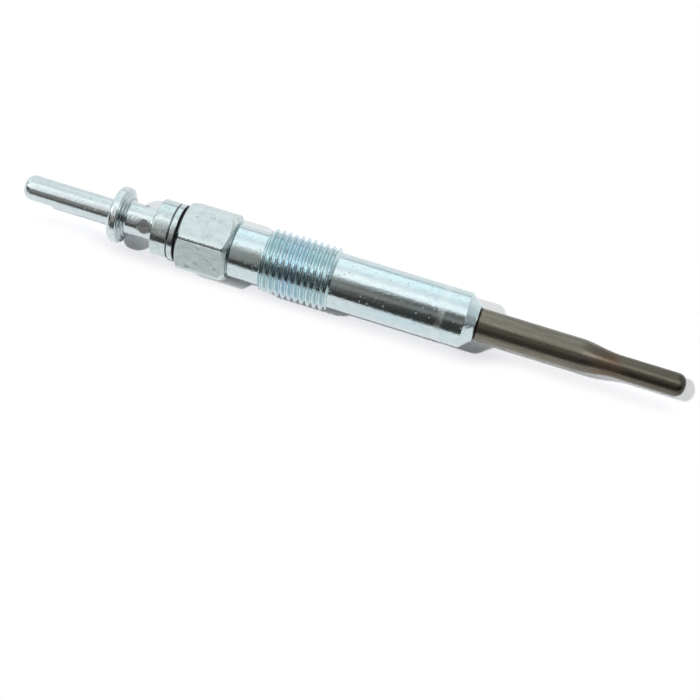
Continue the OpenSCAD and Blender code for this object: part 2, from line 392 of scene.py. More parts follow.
class ShapeTree(Graph):
    """A Geometry Nodes tree with named inputs, which ends in Realize Instances and Set Material."""

    def __init__(self, name: str) -> None:
        """Starts a tree that takes and gives geometry.

        Args:
            name: Name of the tree.
        """
        super().__init__(bpy.data.node_groups.new(name, "GeometryNodeTree"))
        self.tree.interface.new_socket("Geometry", in_out="OUTPUT", socket_type="NodeSocketGeometry")
        self.entry = self.tree.nodes.new("NodeGroupInput")
        (self.geometry,) = self.take("Geometry", kind="NodeSocketGeometry")
        (self.dress,) = self.take("Material", kind="NodeSocketMaterial")

    def take(self, *names: str, kind: str = "NodeSocketFloat") -> list[Value]:
        """Adds named inputs of one kind to the tree.

        Args:
            *names: Names of the inputs.
            kind: Blender's type name of their sockets.

        Returns:
            The inputs as values, in the same order.
        """
        for name in names:
            self.tree.interface.new_socket(name, in_out="INPUT", socket_type=kind)
        return [Value(self, self.entry.outputs[name]) for name in names]

    def about_axis(self, height: Value) -> tuple[Value, Value, Value, Value]:
        """Where a vertex lies about the plug's axis.

        Args:
            height: Height of the axis.

        Returns:
            Its places along the axis, beside it and above it, and its distance from it.
        """
        x, y, z = self.split(self.add("GeometryNodeInputPosition"))
        lift = z - height
        return x, y, lift, self.length(y, lift)

    def shift(self, offset: Value) -> None:
        """Ends the tree in the given geometry with its vertices moved."""
        inputs = {"Geometry": self.geometry, "Offset": offset}
        self.give(self.add("GeometryNodeSetPosition", inputs=inputs))

    def give(self, geometry: Value) -> None:
        """Ends the tree in plain, dressed geometry.

        Args:
            geometry: The shaped geometry.
        """
        plain = self.add("GeometryNodeRealizeInstances", inputs={0: geometry})
        dressed = self.add("GeometryNodeSetMaterial", inputs={"Geometry": plain, "Material": self.dress})
        self.add("NodeGroupOutput", inputs={0: dressed})

    def run(self, piece: bpy.types.Object, material: bpy.types.Material, **sizes: float) -> None:
        """Runs the tree on a piece and leaves a plain mesh.

        Args:
            piece: The object that is shaped.
            material: The material that the tree sets.
            **sizes: The named inputs, with _ for a space.
        """
        modifier = piece.modifiers.new(self.tree.name, "NODES")
        modifier.node_group = self.tree
        known = {
            item.name: item.identifier
            for item in self.tree.interface.items_tree
            if item.in_out == "INPUT"
        }
        modifier[known["Material"]] = material
        for name, size in sizes.items():
            modifier[known[name.replace("_", " ")]] = size
        bpy.context.view_layer.update()
        shaped = piece.evaluated_get(bpy.context.evaluated_depsgraph_get())
        mesh = bpy.data.meshes.new_from_object(shaped)
        piece.modifiers.remove(modifier)
        piece.data = mesh


@dataclass(frozen=True)
class Corner:
    """A corner of a turned outline, with its rounding and the row spacing of the run that follows."""

    station: float
    radius: float
    rounding: float = 0.0
    spacing: float = 1.5

    @property
    def point(self) -> np.ndarray:
        """The corner as a plane point."""
        return np.array((self.station, self.radius))


@dataclass
class Outline:
    """A turned section: a run of corners that is rounded and divided into rows."""

    corners: list[Corner]
    ends: Ends
    arc_steps: int = 6
    support: float = 0.05

    def rows(self) -> list[Point]:
        """Rounds the corners and divides the straight runs.

        Returns:
            The rows as station and radius.
        """
        count = len(self.corners)
        bends = [self.bend(index) for index in range(count)]
        rows: list[Point] = []
        for index, bend in enumerate(bends):
            rows.extend(bend)
            last = index == count - 1
            if last and self.ends is Ends.ON_AXIS:
                break
            rows.extend(self.run(bend[-1], bends[(index + 1) % count][0], self.corners[index].spacing))
        return rows

    def bend(self, index: int) -> list[Point]:
        """Rounds one corner.

        Args:
            index: Which corner.

        Returns:
            The points of its arc, or the corner alone.
        """
        corner = self.corners[index]
        open_end = self.ends is Ends.ON_AXIS and index in (0, len(self.corners) - 1)
        if corner.rounding <= 0 or open_end:
            return [tuple(corner.point)]
        before = self.corners[index - 1].point - corner.point
        after = self.corners[(index + 1) % len(self.corners)].point - corner.point
        reach_before, reach_after = np.linalg.norm(before), np.linalg.norm(after)
        before, after = before / reach_before, after / reach_after
        half = math.acos(float(np.clip(before @ after, -1, 1))) / 2
        reach = min(
            corner.rounding / math.tan(half),
            reach_before * self.share(index - 1),
            reach_after * self.share(index + 1),
        )
        radius = reach * math.tan(half)
        middle = (before + after) / np.linalg.norm(before + after)
        centre = corner.point + middle * radius / math.sin(half)
        first = corner.point + before * reach - centre
        start = math.atan2(first[1], first[0])
        last = corner.point + after * reach - centre
        turn = (math.atan2(last[1], last[0]) - start + math.pi) % (2 * math.pi) - math.pi
        angles = start + turn * np.linspace(0, 1, self.arc_steps + 1)
        return [tuple(centre + radius * np.array((math.cos(a), math.sin(a)))) for a in angles]

    def share(self, neighbour: int) -> float:
        """How much of a run a rounding may take: half if the neighbour is rounded too, else nearly all."""
        return 0.49 if self.corners[neighbour % len(self.corners)].rounding > 0 else 0.98

    def run(self, first: Point, last: Point, spacing: float) -> list[Point]:
        """Divides a straight run, with a close row at each end that keeps its shading straight.

        Args:
            first: Start of the run.
            last: End of the run.
            spacing: Widest distance between rows.

        Returns:
            The points between the two ends.
        """
        start, end = np.array(first), np.array(last)
        length = float(np.linalg.norm(end - start))
        if length < 3 * self.support:
            return []
        edge = self.support / length
        count = max(1, math.ceil(length / spacing))
        shares = edge + (1 - 2 * edge) * np.linspace(0, 1, count + 1)
        return [tuple(start + (end - start) * share) for share in shares]


@dataclass
class Lathe:
    """Turns an outline into a closed mesh about the plug's axis."""

    axis: Axis
    angles: np.ndarray

    @classmethod
    def even(cls, axis: Axis, columns: int) -> "Lathe":
        """A lathe with evenly spread columns."""
        return cls(axis, np.linspace(0, 2 * math.pi, columns, endpoint=False))

    def turn(self, name: str, outline: Outline, rule: RadiusRule | None = None) -> bpy.types.Object:
        """Makes a piece.

        Args:
            name: Name of the piece.
            outline: Its section.
            rule: Gives the radius at a station and an angle where the piece isn't round.

        Returns:
            The piece, smooth and with its faces outwards.
        """
        rows = np.array(outline.rows())
        stations = np.repeat(rows[:, :1], len(self.angles), axis=1)
        radii = np.repeat(rows[:, 1:], len(self.angles), axis=1)
        turns = np.repeat(self.angles[None, :], len(rows), axis=0)
        if rule is not None:
            radii = rule(stations, turns, radii)
        builder = bmesh.new()
        rings = [
            self.ring(builder, stations[index], radii[index]) for index in range(len(rows))
        ]
        pairs = list(zip(rings, rings[1:]))
        if outline.ends is Ends.LOOP:
            pairs.append((rings[-1], rings[0]))
        for lower, upper in pairs:
            self.band(builder, lower, upper)
        bmesh.ops.recalc_face_normals(builder, faces=builder.faces)
        mesh = bpy.data.meshes.new(name)
        builder.to_mesh(mesh)
        builder.free()
        mesh.shade_smooth()
        return link(bpy.data.objects.new(name, mesh))

    def ring(self, builder: bmesh.types.BMesh, stations: np.ndarray, radii: np.ndarray) -> list:
        """Adds one row of vertices, or a single one on the axis.

        Args:
            builder: The mesh under construction.
            stations: Station of each column.
            radii: Radius of each column.

        Returns:
            The row's vertices.
        """
        if float(radii.max()) < 1e-6:
            return [builder.verts.new(self.axis.place(float(stations[0]), 0.0, 0.0))]
        return [
            builder.verts.new(self.axis.place(float(s), float(a), float(r)))
            for s, a, r in zip(stations, self.angles, radii)
        ]

    @staticmethod
    def band(builder: bmesh.types.BMesh, lower: list, upper: list) -> None:
        """Joins two rows by faces.

        Args:
            builder: The mesh under construction.
            lower: The first row.
            upper: The next row.
        """
        count = max(len(lower), len(upper))
        for index in range(count):
            after = (index + 1) % count
            corners = []
            for row, order in ((lower, (index, after)), (upper, (after, index))):
                corners.extend([row[0]] if len(row) == 1 else [row[k] for k in order])
            builder.faces.new(corners)


def link(piece: bpy.types.Object) -> bpy.types.Object:
    """Puts an object into the scene."""
    bpy.context.scene.collection.objects.link(piece)
    return piece


def smooth_min(first: np.ndarray, second: np.ndarray, blend: float) -> np.ndarray:
    """The smaller of two fields, with a rounded edge where they cross."""
    overlap = np.maximum(blend - np.abs(first - second), 0) / blend
    return np.minimum(first, second) - overlap**2 * blend / 4


def adopt(piece: bpy.types.Object, node: str) -> None:
    """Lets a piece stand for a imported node.

    Args:
        piece: The finished piece.
        node: Name of the node.
    """
    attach(piece, BODY)
    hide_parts(node)
    LOG.info("%s stands for %s, %d faces", piece.name, node, len(piece.data.polygons))


def coat(node: str, material: bpy.types.Material) -> None:
    """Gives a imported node, which keeps its own mesh, a finish.

    Args:
        node: Name of the node.
        material: Its material.
    """
    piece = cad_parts[node]
    piece.data.materials.clear()
    piece.data.materials.append(material)
    LOG.info("%s keeps its mesh and gets %s", node, material.name)


@dataclass(frozen=True)
class ZincZone:
    """A stretch of plated steel that differs from the rest: its stations, colour and surface."""

    start: float
    end: float
    colour: Colour
    roughness: float
    grain_depth: float
    mottle: float = 0.15
    dents: float = 0.0
    edge_roughness: float | None = None
    soft: float = 0.08


@dataclass(frozen=True)
class ZincFinish:
    """Blue-passivated zinc plating on turned steel."""

    name: str
    colour: Colour
    tint: Colour
    zones: tuple[ZincZone, ...] = ()
    thread: Point | None = None
    shade: Colour = (0.42, 0.475, 0.485)
    roughness: float = 0.075
    cloud: Pattern = Pattern(0.10, 0.6, 4.0, contrast=(0.35, 0.68))
    patch: Pattern = Pattern(0.9, 1.7, 5.0, 0.65, (0.38, 0.66))
    patch_shade: float = 0.2
    patch_dulls: float = 0.06
    lines: Pattern = Pattern(7.0, 0.35, 3.0)
    lines_dull: float = 0.03
    lines_depth: float = 0.007
    streaks: Pattern = Pattern(0.5, 2.4, 4.0)
    streaks_depth: float = 0.012
    grain_per_mm: float = 3.2
    grain_depth: float = 0.022
    pits: Nicks = Nicks(1.6, 0.18, 0.6)
    pits_shade: float = 0.25
    pits_depth: float = 4.0
    dents: Nicks = Nicks(0.75, 0.42, 0.55)
    dents_shade: float = 14.0
    darkest_dent: float = 0.5
    worn_edge: Point = (0.10, 0.05)
    film_stops: Stops = (
        (0.0, (0.50, 0.69, 0.70)),
        (0.25, (0.46, 0.66, 0.74)),
        (0.45, (0.43, 0.63, 0.79)),
        (0.65, (0.47, 0.68, 0.74)),
        (1.0, (0.58, 0.71, 0.72)),
    )
    film_share: float = 0.4
    film_soft: float = 0.3
    film_wander: float = 0.35
    film_per_mm: float = 0.45
    # Painted shade that darkens the thread towards its root.
    root_shade_colour: Colour = (0.34, 0.47, 0.50)
    root_shade_share: float = 0.15
    root_shade_radii: Point = (4.9, 4.5)

    def make(self, axis: Axis) -> bpy.types.Material:
        """Builds the material.

        Args:
            axis: Where the plug's axis lies.

        Returns:
            The material.
        """
        s = Surface(self.name, axis)
        patch, lines = s.pattern(self.patch), s.pattern(self.lines)
        colour = s.mix(s.pattern(self.cloud), self.colour, self.tint)
        colour = s.mix(patch * self.patch_shade, colour, self.shade)
        rough = self.roughness + self.patch_dulls * patch + self.lines_dull * lines
        relief: Operand = 1.0
        depth: Operand = 0.0
        for zone in self.zones:
            mask = s.between(zone.start, zone.end, zone.soft)
            colour = s.mix(mask, colour, s.mix(patch * zone.mottle, zone.colour, self.shade))
            rough = rough + mask * self.dulling(s, zone)
            relief = relief + mask * (zone.grain_depth / self.grain_depth - 1.0)
            depth = depth + mask * zone.dents
        if self.thread is not None:
            colour = self.film(s, colour)
            # Painted shade in the thread's roots.
            colour = s.mix(self.painted_root_shade(s), colour, self.root_shade_colour)
        pits, dents = s.nicks(self.pits), s.nicks(self.dents)
        colour = s.mix(pits * self.pits_shade, colour, self.shade)
        normal = s.bump(lines, self.lines_depth)
        normal = s.bump(s.pattern(self.streaks), self.streaks_depth, normal)
        grain = s.grain(self.grain_per_mm) * relief
        normal = s.bump(grain - pits * self.pits_depth, self.grain_depth, normal)
        normal = s.bump(dents * depth * -1.0, 1.0, normal)
        darkness = s.math("MINIMUM", depth * self.dents_shade, self.darkest_dent)
        colour = s.mix(dents * darkness, colour, self.shade)
        return s.finish(Base_Color=colour, Metallic=1.0, Roughness=rough, Normal=normal)

    def dulling(self, s: Surface, zone: ZincZone) -> Operand:
        """How much rougher a zone is, with its worn edges between flats kept bright.

        Args:
            s: The surface.
            zone: The zone.

        Returns:
            What is added to the roughness.
        """
        flats = zone.roughness - self.roughness
        if zone.edge_roughness is None:
            return flats
        sixth = s.math("ARCTAN2", s.side * -1.0, s.lift) / (math.tau / 6)
        off = s.math("ABSOLUTE", s.math("FRACT", sixth) - 0.5)
        edge = s.smooth(off, *self.worn_edge)
        return flats + edge * (zone.edge_roughness - zone.roughness)

    def film(self, s: Surface, colour: Value) -> Value:
        """Lays the blue and green passivation film of the thread over a colour.

        Args:
            s: The surface.
            colour: The colour so far.

        Returns:
            The tinted colour.
        """
        start, end = self.thread
        share = (s.station - start) / (end - start)
        film = s.ramp(share + s.wander(self.film_wander, self.film_per_mm, detail=2.0), self.film_stops)
        return s.mix(s.between(start, end, self.film_soft) * self.film_share, colour, film)

    def painted_root_shade(self, s: Surface) -> Value:
        """How much painted shade lies in the thread, more towards its root."""
        deep = s.smooth(s.length(s.side, s.lift), *self.root_shade_radii)
        return self.root_shade_share * deep * s.between(*self.thread)


@dataclass(frozen=True)
class AlloyFinish:
    """Heat-oxidised nickel alloy of the heater sheath, redder at the swage and darker at the tip, with
    painted shade in a ring where it leaves the nose.
    """

    name: str
    straight: Colour = (0.200, 0.187, 0.153)
    swage: Colour = (0.150, 0.105, 0.072)
    tip: Colour = (0.138, 0.128, 0.102)
    soot: Colour = (0.080, 0.073, 0.056)
    char: Colour = (0.034, 0.032, 0.026)
    painted_nose_shade: Colour = (0.004, 0.004, 0.004)
    metallic: float = 0.90
    burnt_loss: float = 0.25
    burnt_rise: Point = (-2.5, 1.5)
    burnt_fall: Point = (2.0, 5.0)
    tip_rise: Point = (-1.0, 3.0)
    bands_wander: float = 1.6
    bands_per_mm: float = 0.5
    bloom: Pattern = Pattern(0.16, 1.2, 5.0, 0.65, (0.36, 0.66))
    bloom_share: float = 0.30
    bloom_dulls: float = 0.10
    char_rise: Point = (-1.6, -0.3)
    char_share: float = 0.8
    nose_shade_fall: Point = (0.38, 0.22)
    nose_shade_share: float = 0.95
    nose_shade_wander: float = 0.25
    nose_shade_per_mm: float = 1.5
    drawn: Pattern = Pattern(0.35, 5.0, 3.0)
    drawn_depth: float = 0.004
    roughness: float = 0.20
    scale_per_mm: float = 2.6
    scale_depth: float = 0.008
    scale_dulls: float = 0.06

    def make(self, axis: Axis, nose_at: float, swage_at: float, end_at: float) -> bpy.types.Material:
        """Builds the material.

        Args:
            axis: Where the plug's axis lies.
            nose_at: Station where the sheath leaves the housing.
            swage_at: Station of the middle of the swage.
            end_at: Station of the tip.

        Returns:
            The material.
        """
        s = Surface(self.name, axis)
        place = s.station + s.wander(self.bands_wander, self.bands_per_mm) - swage_at
        burnt = s.window(place, self.burnt_rise, self.burnt_fall)
        bloom, scale = s.pattern(self.bloom), s.grain(self.scale_per_mm)
        colour = s.mix(s.smooth(place, *self.tip_rise), self.straight, self.tip)
        colour = s.mix(burnt, colour, self.swage)
        colour = s.mix(bloom * self.bloom_share, colour, self.soot)
        end = s.smooth(s.station - end_at, *self.char_rise)
        colour = s.mix(end * self.char_share, colour, self.char)
        # Painted shade: a near-black ring with a ragged edge where the sheath leaves the nose.
        ragged = s.station + s.wander(self.nose_shade_wander, self.nose_shade_per_mm) - nose_at
        colour = s.mix(s.smooth(ragged, *self.nose_shade_fall) * self.nose_shade_share, colour, self.painted_nose_shade)
        rough = self.roughness + self.bloom_dulls * bloom + self.scale_dulls * scale
        normal = s.bump(s.pattern(self.drawn), self.drawn_depth)
        normal = s.bump(scale, self.scale_depth, normal)
        metallic = self.metallic - self.burnt_loss * burnt
        return s.finish(Base_Color=colour, Metallic=metallic, Roughness=rough, Normal=normal)


@dataclass(frozen=True)
class GrainyFinish:
    """A plain material whose colour, gloss and relief vary with a fine grain."""

    name: str
    colour: Colour
    shade: Colour
    roughness: float
    metallic: float = 0.0
    grain_per_mm: float = 2.0
    depth: float = 0.01
    grains_per_cloud: float = 4.0
    cloud_contrast: Point = (0.35, 0.65)
    cloud_share: float = 0.6
    gloss_range: float = 0.2

    def make(self, axis: Axis) -> bpy.types.Material:
        """Builds the material.

        Args:
            axis: Where the plug's axis lies.

        Returns:
            The material.
        """
        s = Surface(self.name, axis)
        grain = s.grain(self.grain_per_mm)
        cloud = s.noise(s.spot, self.grain_per_mm / self.grains_per_cloud, detail=3.0)
        cloud = s.smooth(cloud, *self.cloud_contrast)
        share = self.cloud_share * cloud + (1.0 - self.cloud_share) * grain
        colour = s.mix(share, self.colour, self.shade)
        rough = self.roughness + self.gloss_range * (grain - 0.5)
        normal = s.bump(grain, self.depth)
        return s.finish(Base_Color=colour, Metallic=self.metallic, Roughness=rough, Normal=normal)


@dataclass
class TerminalCap:
    """Contact pin, snap flange, crimped neck and grooved foot, turned as one piece."""

    axis: Axis
    pin_r: float = 2.0
    pin_end_radius: float = 1.4
    flange_at: float = 15.0
    rim_r: float = 4.45
    rim_length: float = 1.55
    rim_front: float = 1.3
    rim_back: float = 0.2
    step_count: int = 3
    step_length: float = 0.32
    land_length: float = 0.14
    flange_length: float = 2.4
    neck_r: float = 2.55
    neck_length: float = 4.25
    neck_fillet: float = 0.25
    shoulder_length: float = 0.55
    foot_r: float = 4.4
    foot_length: float = 3.7
    groove_width: float = 0.24
    groove_depth: float = 0.4
    end_ring_length: float = 0.9
    rod_r: float = 1.5
    hole_floor: float = 18.0
    dimple_count: int = 4
    dimple_from_shoulder: float = 1.2
    dimple_r: float = 1.1
    dimple_depth: float = 0.27
    dimple_turn: float = 43.0
    dimple_wall: float = 2.2
    dimple_blend: float = 0.08
    dimple_margin: float = 0.6
    edge: float = 0.07
    foot_edge: float = 0.15
    hole_edge: float = 0.05
    shade_band_width: float = 0.2
    face_rows: float = 0.4
    neck_rows: float = 0.055
    shoulder_rows: float = 0.2
    foot_rows: float = 0.3
    columns: int = 288

    @property
    def steps_at(self) -> float:
        """Station where the rings behind the rim begin."""
        return self.flange_at + self.rim_length

    @property
    def neck_at(self) -> float:
        """Station where the neck begins."""
        return self.flange_at + self.flange_length

    @property
    def shoulder_at(self) -> float:
        """Station where the neck ends."""
        return self.neck_at + self.neck_length

    @property
    def foot_at(self) -> float:
        """Station where the foot begins."""
        return self.shoulder_at + self.shoulder_length

    @property
    def end_at(self) -> float:
        """Station of the foot's end face."""
        return self.foot_at + self.foot_length

    @property
    def groove_at(self) -> float:
        """Station where the foot's groove begins."""
        return self.end_at - self.end_ring_length - self.groove_width

    def outline(self) -> Outline:
        """Draws the section, from the free end of the pin round to the floor of the rod's hole.

        Returns:
            The section.
        """
        groove_start, groove_end = self.groove_at, self.groove_at + self.groove_width
        floor = self.foot_r - self.groove_depth
        edge = self.edge
        corners = [
            Corner(0, 0),
            Corner(0, self.pin_r, self.pin_end_radius),
            Corner(self.flange_at, self.pin_r, edge, self.face_rows),
            Corner(self.flange_at, self.rim_r, self.rim_front),
            Corner(self.steps_at, self.rim_r, self.rim_back),
        ]
        for index in range(self.step_count):
            corners.extend(self.step_land(index))
        corners += [
            Corner(self.neck_at, self.neck_r, self.neck_fillet, self.neck_rows),
            Corner(self.shoulder_at, self.neck_r, self.neck_fillet, self.shoulder_rows),
            Corner(self.foot_at, self.foot_r, self.foot_edge, self.foot_rows),
            Corner(groove_start, self.foot_r, edge),
            Corner(groove_start, floor, edge / 2),
            Corner(groove_end, floor, edge / 2),
            Corner(groove_end, self.foot_r, edge),
            Corner(self.end_at, self.foot_r, self.foot_edge),
            Corner(self.end_at, self.rod_r, self.hole_edge),
            Corner(self.hole_floor, self.rod_r, self.hole_edge),
            Corner(self.hole_floor, 0),
        ]
        return Outline(corners, Ends.ON_AXIS)

    def step_land(self, index: int) -> list[Corner]:
        """One of the rings that step down from the rim: a narrow land, from which a slope leads on.

        Args:
            index: Which ring, from the rim.

        Returns:
            Its corners.
        """
        top = self.rim_r - self.rim_back
        radius = top - (top - self.neck_r) * index / self.step_count
        start = self.steps_at + self.step_length * index
        return [
            Corner(start, radius, self.edge if index else 0.0),
            Corner(start + self.land_length, radius, self.edge),
        ]

    def dimple_tree(self) -> ShapeTree:
        """Geometry Nodes that press flat round dimples into the neck, evenly spread about the axis.

        Returns:
            The tree, with its inputs in metres and radians.
        """
        t = ShapeTree("crimp_dimples")
        height, middle, count, turn = t.take("Axis height", "Middle", "Count", "Turn")
        floor, punch, wall = t.take("Floor radius", "Punch radius", "Wall slope")
        blend, margin = t.take("Blend", "Margin")
        x, y, lift, radius = t.about_axis(height)
        angle = t.math("ARCTAN2", y * -1.0, lift)
        spread = math.tau / count
        centre = t.math("ROUND", (angle - turn) / spread) * spread + turn
        off = angle - centre
        deep = radius * t.math("COSINE", off)
        away = t.length(radius * t.math("SINE", off), x - middle) - punch
        limit = floor + t.math("MAXIMUM", away, 0.0) * wall
        press = t.math("SMOOTH_MIN", deep, limit, blend) - deep
        push = press * t.math("LESS_THAN", away, margin)
        t.shift(t.join(0.0, push * t.math("SINE", centre) * -1.0, push * t.math("COSINE", centre)))
        return t

    def plating(self) -> ZincFinish:
        """Bright plating, duller on the rings behind the rim, with painted shade in the groove and at the
        foot's end face.

        Returns:
            The finish.
        """
        groove = self.groove_at + self.groove_width / 2
        half = self.shade_band_width / 2
        rings, foot = (0.46, 0.53, 0.55), (0.60, 0.69, 0.70)
        groove_shade, end_face_shade = (0.22, 0.24, 0.25), (0.05, 0.055, 0.06)
        return ZincFinish(
            "cap_zinc",
            colour=(0.65, 0.725, 0.74),
            tint=(0.62, 0.71, 0.73),
            zones=(
                ZincZone(self.steps_at + half, self.neck_at, rings, 0.10, 0.012),
                ZincZone(self.foot_at, self.end_at, foot, 0.10, 0.014, mottle=0.4, dents=0.012),
                # Painted shade in the groove and at the end face beside the black ring.
                ZincZone(groove - half, groove + half, groove_shade, 0.35, 0.010),
                ZincZone(self.end_at - half, self.end_at + half, end_face_shade, 0.35, 0.010),
            ),
        )

    def build(self) -> None:
        """Turns the cap, presses its dimples and dresses it."""
        piece = Lathe.even(self.axis, self.columns).turn("terminal_cap_turned", self.outline())
        self.dimple_tree().run(
            piece,
            self.plating().make(self.axis),
            Axis_height=self.axis.height,
            Middle=self.axis.x(self.shoulder_at - self.dimple_from_shoulder),
            Count=float(self.dimple_count),
            Turn=math.radians(self.dimple_turn),
            Floor_radius=(self.neck_r - self.dimple_depth) * MM,
            Punch_radius=self.dimple_r * MM,
            Wall_slope=self.dimple_wall,
            Blend=self.dimple_blend * MM,
            Margin=self.dimple_margin * MM,
        )
        adopt(piece, "terminal_cap")


@dataclass
class InsulatingRing:
    """Black moulded ring between the foot and the hexagon, with a spigot inside the housing."""

    axis: Axis
    collar_at: float
    collar_r: float = 4.05
    collar_length: float = 0.5
    spigot_r: float = 3.15
    spigot_length: float = 2.0
    bore_r: float = 1.55
    edge: float = 0.05
    columns: int = 128

    @property
    def hex_at(self) -> float:
        """Station where the collar meets the hexagon."""
        return self.collar_at + self.collar_length

    @property
    def spigot_end(self) -> float:
        """Station where the spigot ends inside the housing."""
        return self.hex_at + self.spigot_length

    def build(self, finish: GrainyFinish) -> None:
        """Turns the ring and dresses it.

        Args:
            finish: Its polymer.
        """
        corners = [
            Corner(self.collar_at, self.bore_r, self.edge),
            Corner(self.collar_at, self.collar_r, self.edge),
            Corner(self.hex_at, self.collar_r, self.edge),
            Corner(self.hex_at, self.spigot_r, self.edge),
            Corner(self.spigot_end, self.spigot_r, self.edge),
            Corner(self.spigot_end, self.bore_r, self.edge),
        ]
        lathe = Lathe.even(self.axis, self.columns)
        piece = lathe.turn("insulating_ring_moulded", Outline(corners, Ends.LOOP))
        piece.data.materials.append(finish.make(self.axis))
        adopt(piece, "insulating_ring")


@dataclass
class Housing:
    """Hexagon, shank, thread, barrel and conical seat, turned from one hexagonal bar."""

    axis: Axis
    hex_at: float
    counterbore_end: float
    hex_length: float = 8.0
    hex_apothem: float = 5.0
    hex_face_r: float = 4.75
    hex_end_r: float = 4.6
    hex_chamfer: float = 30.0
    hex_edge: float = 0.58
    hex_wear: float = 0.14
    hex_blend: float = 0.06
    wear_paces: tuple[float, ...] = (4.1, 9.7, 15.3, 23.9)
    blank_margin: float = 0.05
    sheen_length: float = 0.5
    shank_r: float = 4.2
    shank_length: float = 5.25
    relief_width: float = 0.4
    relief_depth: float = 0.3
    thread_r: float = 5.0
    thread_depth: float = 0.61
    thread_length: float = 11.1
    thread_chamfer: float = 60.0
    pitch: float = 1.0
    crest_share: float = 0.14
    root_share: float = 0.16
    crest_blend: float = 0.10
    root_blend: float = 0.12
    bore_depths: float = 1.5
    barrel_r: float = 4.3
    barrel_length: float = 20.6
    band_from_seat: float = 3.1
    band_length: float = 2.2
    band_depth: float = 0.03
    seat_length: float = 1.7
    nose_land: float = 0.12
    nose_rim: float = 0.25
    recess_width: float = 0.2
    recess_depth: float = 0.5
    counterbore_r: float = 3.2
    rod_bore_r: float = 2.85
    press_length: float = 16.0
    sheath_r: float = 2.5
    edge: float = 0.05
    sharp_edge: float = 0.03
    thread_edge: float = 0.02
    relief_edge: float = 0.06
    band_edge: float = 0.15
    seat_edge: float = 0.12
    recess_edge: float = 0.04
    bore_margin: float = 0.2
    slack: float = 0.001
    rows_per_pitch: int = 20
    chamfer_rows: float = 0.045
    flat_rows: float = 0.08
    face_rows: float = 0.1
    step_rows: float = 0.06
    seat_rows: float = 0.3
    bore_rows: float = 4.0
    counterbore_rows: float = 1.0
    flat_columns: int = 10
    corner_columns: tuple[float, ...] = (0.0, 0.2, 0.4, 0.6, 0.8, 1.0, 1.25, 1.7)

    @property
    def shank_at(self) -> float:
        """Station where the hexagon ends."""
        return self.hex_at + self.hex_length

    @property
    def thread_at(self) -> float:
        """Station where the thread begins."""
        return self.shank_at + self.shank_length

    @property
    def barrel_at(self) -> float:
        """Station where the thread ends."""
        return self.thread_at + self.thread_length

    @property
    def seat_at(self) -> float:
        """Station where the conical seat begins."""
        return self.barrel_at + self.barrel_length

    @property
    def nose_at(self) -> float:
        """Station of the nose."""
        return self.seat_at + self.seat_length

    @property
    def press_at(self) -> float:
        """Station where the sheath's press fit begins."""
        return self.nose_at - self.press_length

    @property
    def band_at(self) -> float:
        """Station where the turned band begins."""
        return self.seat_at - self.band_from_seat - self.band_length

    def outline(self) -> Outline:
        """Draws the section, with the hexagon's corners and the thread's crests as full rings.

        Returns:
            The section.
        """
        rise = math.tan(math.radians(self.hex_chamfer))
        blank_r = self.hex_apothem / math.cos(math.pi / 6) + self.blank_margin
        fine = self.pitch / self.rows_per_pitch
        root_r = self.thread_r - self.thread_depth
        lead = self.thread_depth / math.tan(math.radians(self.thread_chamfer))
        band_at, band_end = self.band_at, self.band_at + self.band_length
        band_r = self.barrel_r - self.band_depth
        side = self.band_length / 4
        relief_r = self.shank_r - self.relief_depth
        recess_r = self.sheath_r + self.recess_width
        recess_at = self.nose_at - self.recess_depth
        nose_r = recess_r + self.nose_rim
        edge, sharp, cut = self.edge, self.sharp_edge, self.thread_edge
        corners = [
            Corner(self.hex_at, self.counterbore_r, edge),
            Corner(self.hex_at, self.hex_face_r, edge, self.chamfer_rows),
            Corner(self.hex_at + (blank_r - self.hex_face_r) * rise, blank_r, edge, self.flat_rows),
            Corner(self.shank_at - (blank_r - self.hex_end_r) * rise, blank_r, edge, self.chamfer_rows),
            Corner(self.shank_at, self.hex_end_r, self.relief_edge, self.face_rows),
            Corner(self.shank_at, relief_r, sharp),
            Corner(self.shank_at + self.relief_width - self.relief_depth, relief_r, sharp),
            Corner(self.shank_at + self.relief_width, self.shank_r, self.relief_edge),
            Corner(self.thread_at, self.shank_r, cut, self.step_rows),
            Corner(self.thread_at, root_r, cut, fine),
            Corner(self.thread_at + lead, self.thread_r, cut, fine),
            Corner(self.barrel_at - lead, self.thread_r, cut, fine),
            Corner(self.barrel_at, root_r, cut, self.step_rows),
            Corner(self.barrel_at, self.barrel_r, cut),
            Corner(band_at, self.barrel_r, self.band_edge),
            Corner(band_at + side, band_r, self.band_edge),
            Corner(band_end - side, band_r, self.band_edge),
            Corner(band_end, self.barrel_r, self.band_edge),
            Corner(self.seat_at, self.barrel_r, self.seat_edge, self.seat_rows),
            Corner(self.nose_at - self.nose_land, nose_r, sharp),
            Corner(self.nose_at, nose_r, edge),
            Corner(self.nose_at, recess_r, self.recess_edge),
            Corner(recess_at, recess_r, sharp),
            Corner(recess_at, self.sheath_r, sharp, self.bore_rows),
            Corner(self.press_at, self.sheath_r, sharp),
            Corner(self.press_at, self.rod_bore_r, sharp, self.bore_rows),
            Corner(self.counterbore_end, self.rod_bore_r, sharp),
            Corner(self.counterbore_end, self.counterbore_r, sharp, self.counterbore_rows),
        ]
        return Outline(corners, Ends.LOOP, arc_steps=5)

    def corner_reach(self, rounding: float | np.ndarray) -> float | np.ndarray:
        """Angle from a corner of the hexagon to the end of its rounding."""
        flat = (self.hex_apothem - rounding) * math.tan(math.pi / 6)
        return math.pi / 6 - np.arctan(flat / self.hex_apothem)

    def column_angles(self) -> np.ndarray:
        """Angles of the columns, close together at the hexagon's corners.

        Returns:
            The angles in radians, in order.
        """
        close = self.corner_reach(self.hex_edge) * np.array(self.corner_columns)
        close = np.concatenate((-close[:0:-1], close))
        flat = np.linspace(close[-1], math.pi / 3 + close[0], self.flat_columns + 2)[1:-1]
        part = np.concatenate((close, flat))
        return np.concatenate([math.pi / 6 + math.pi / 3 * k + part for k in range(6)])

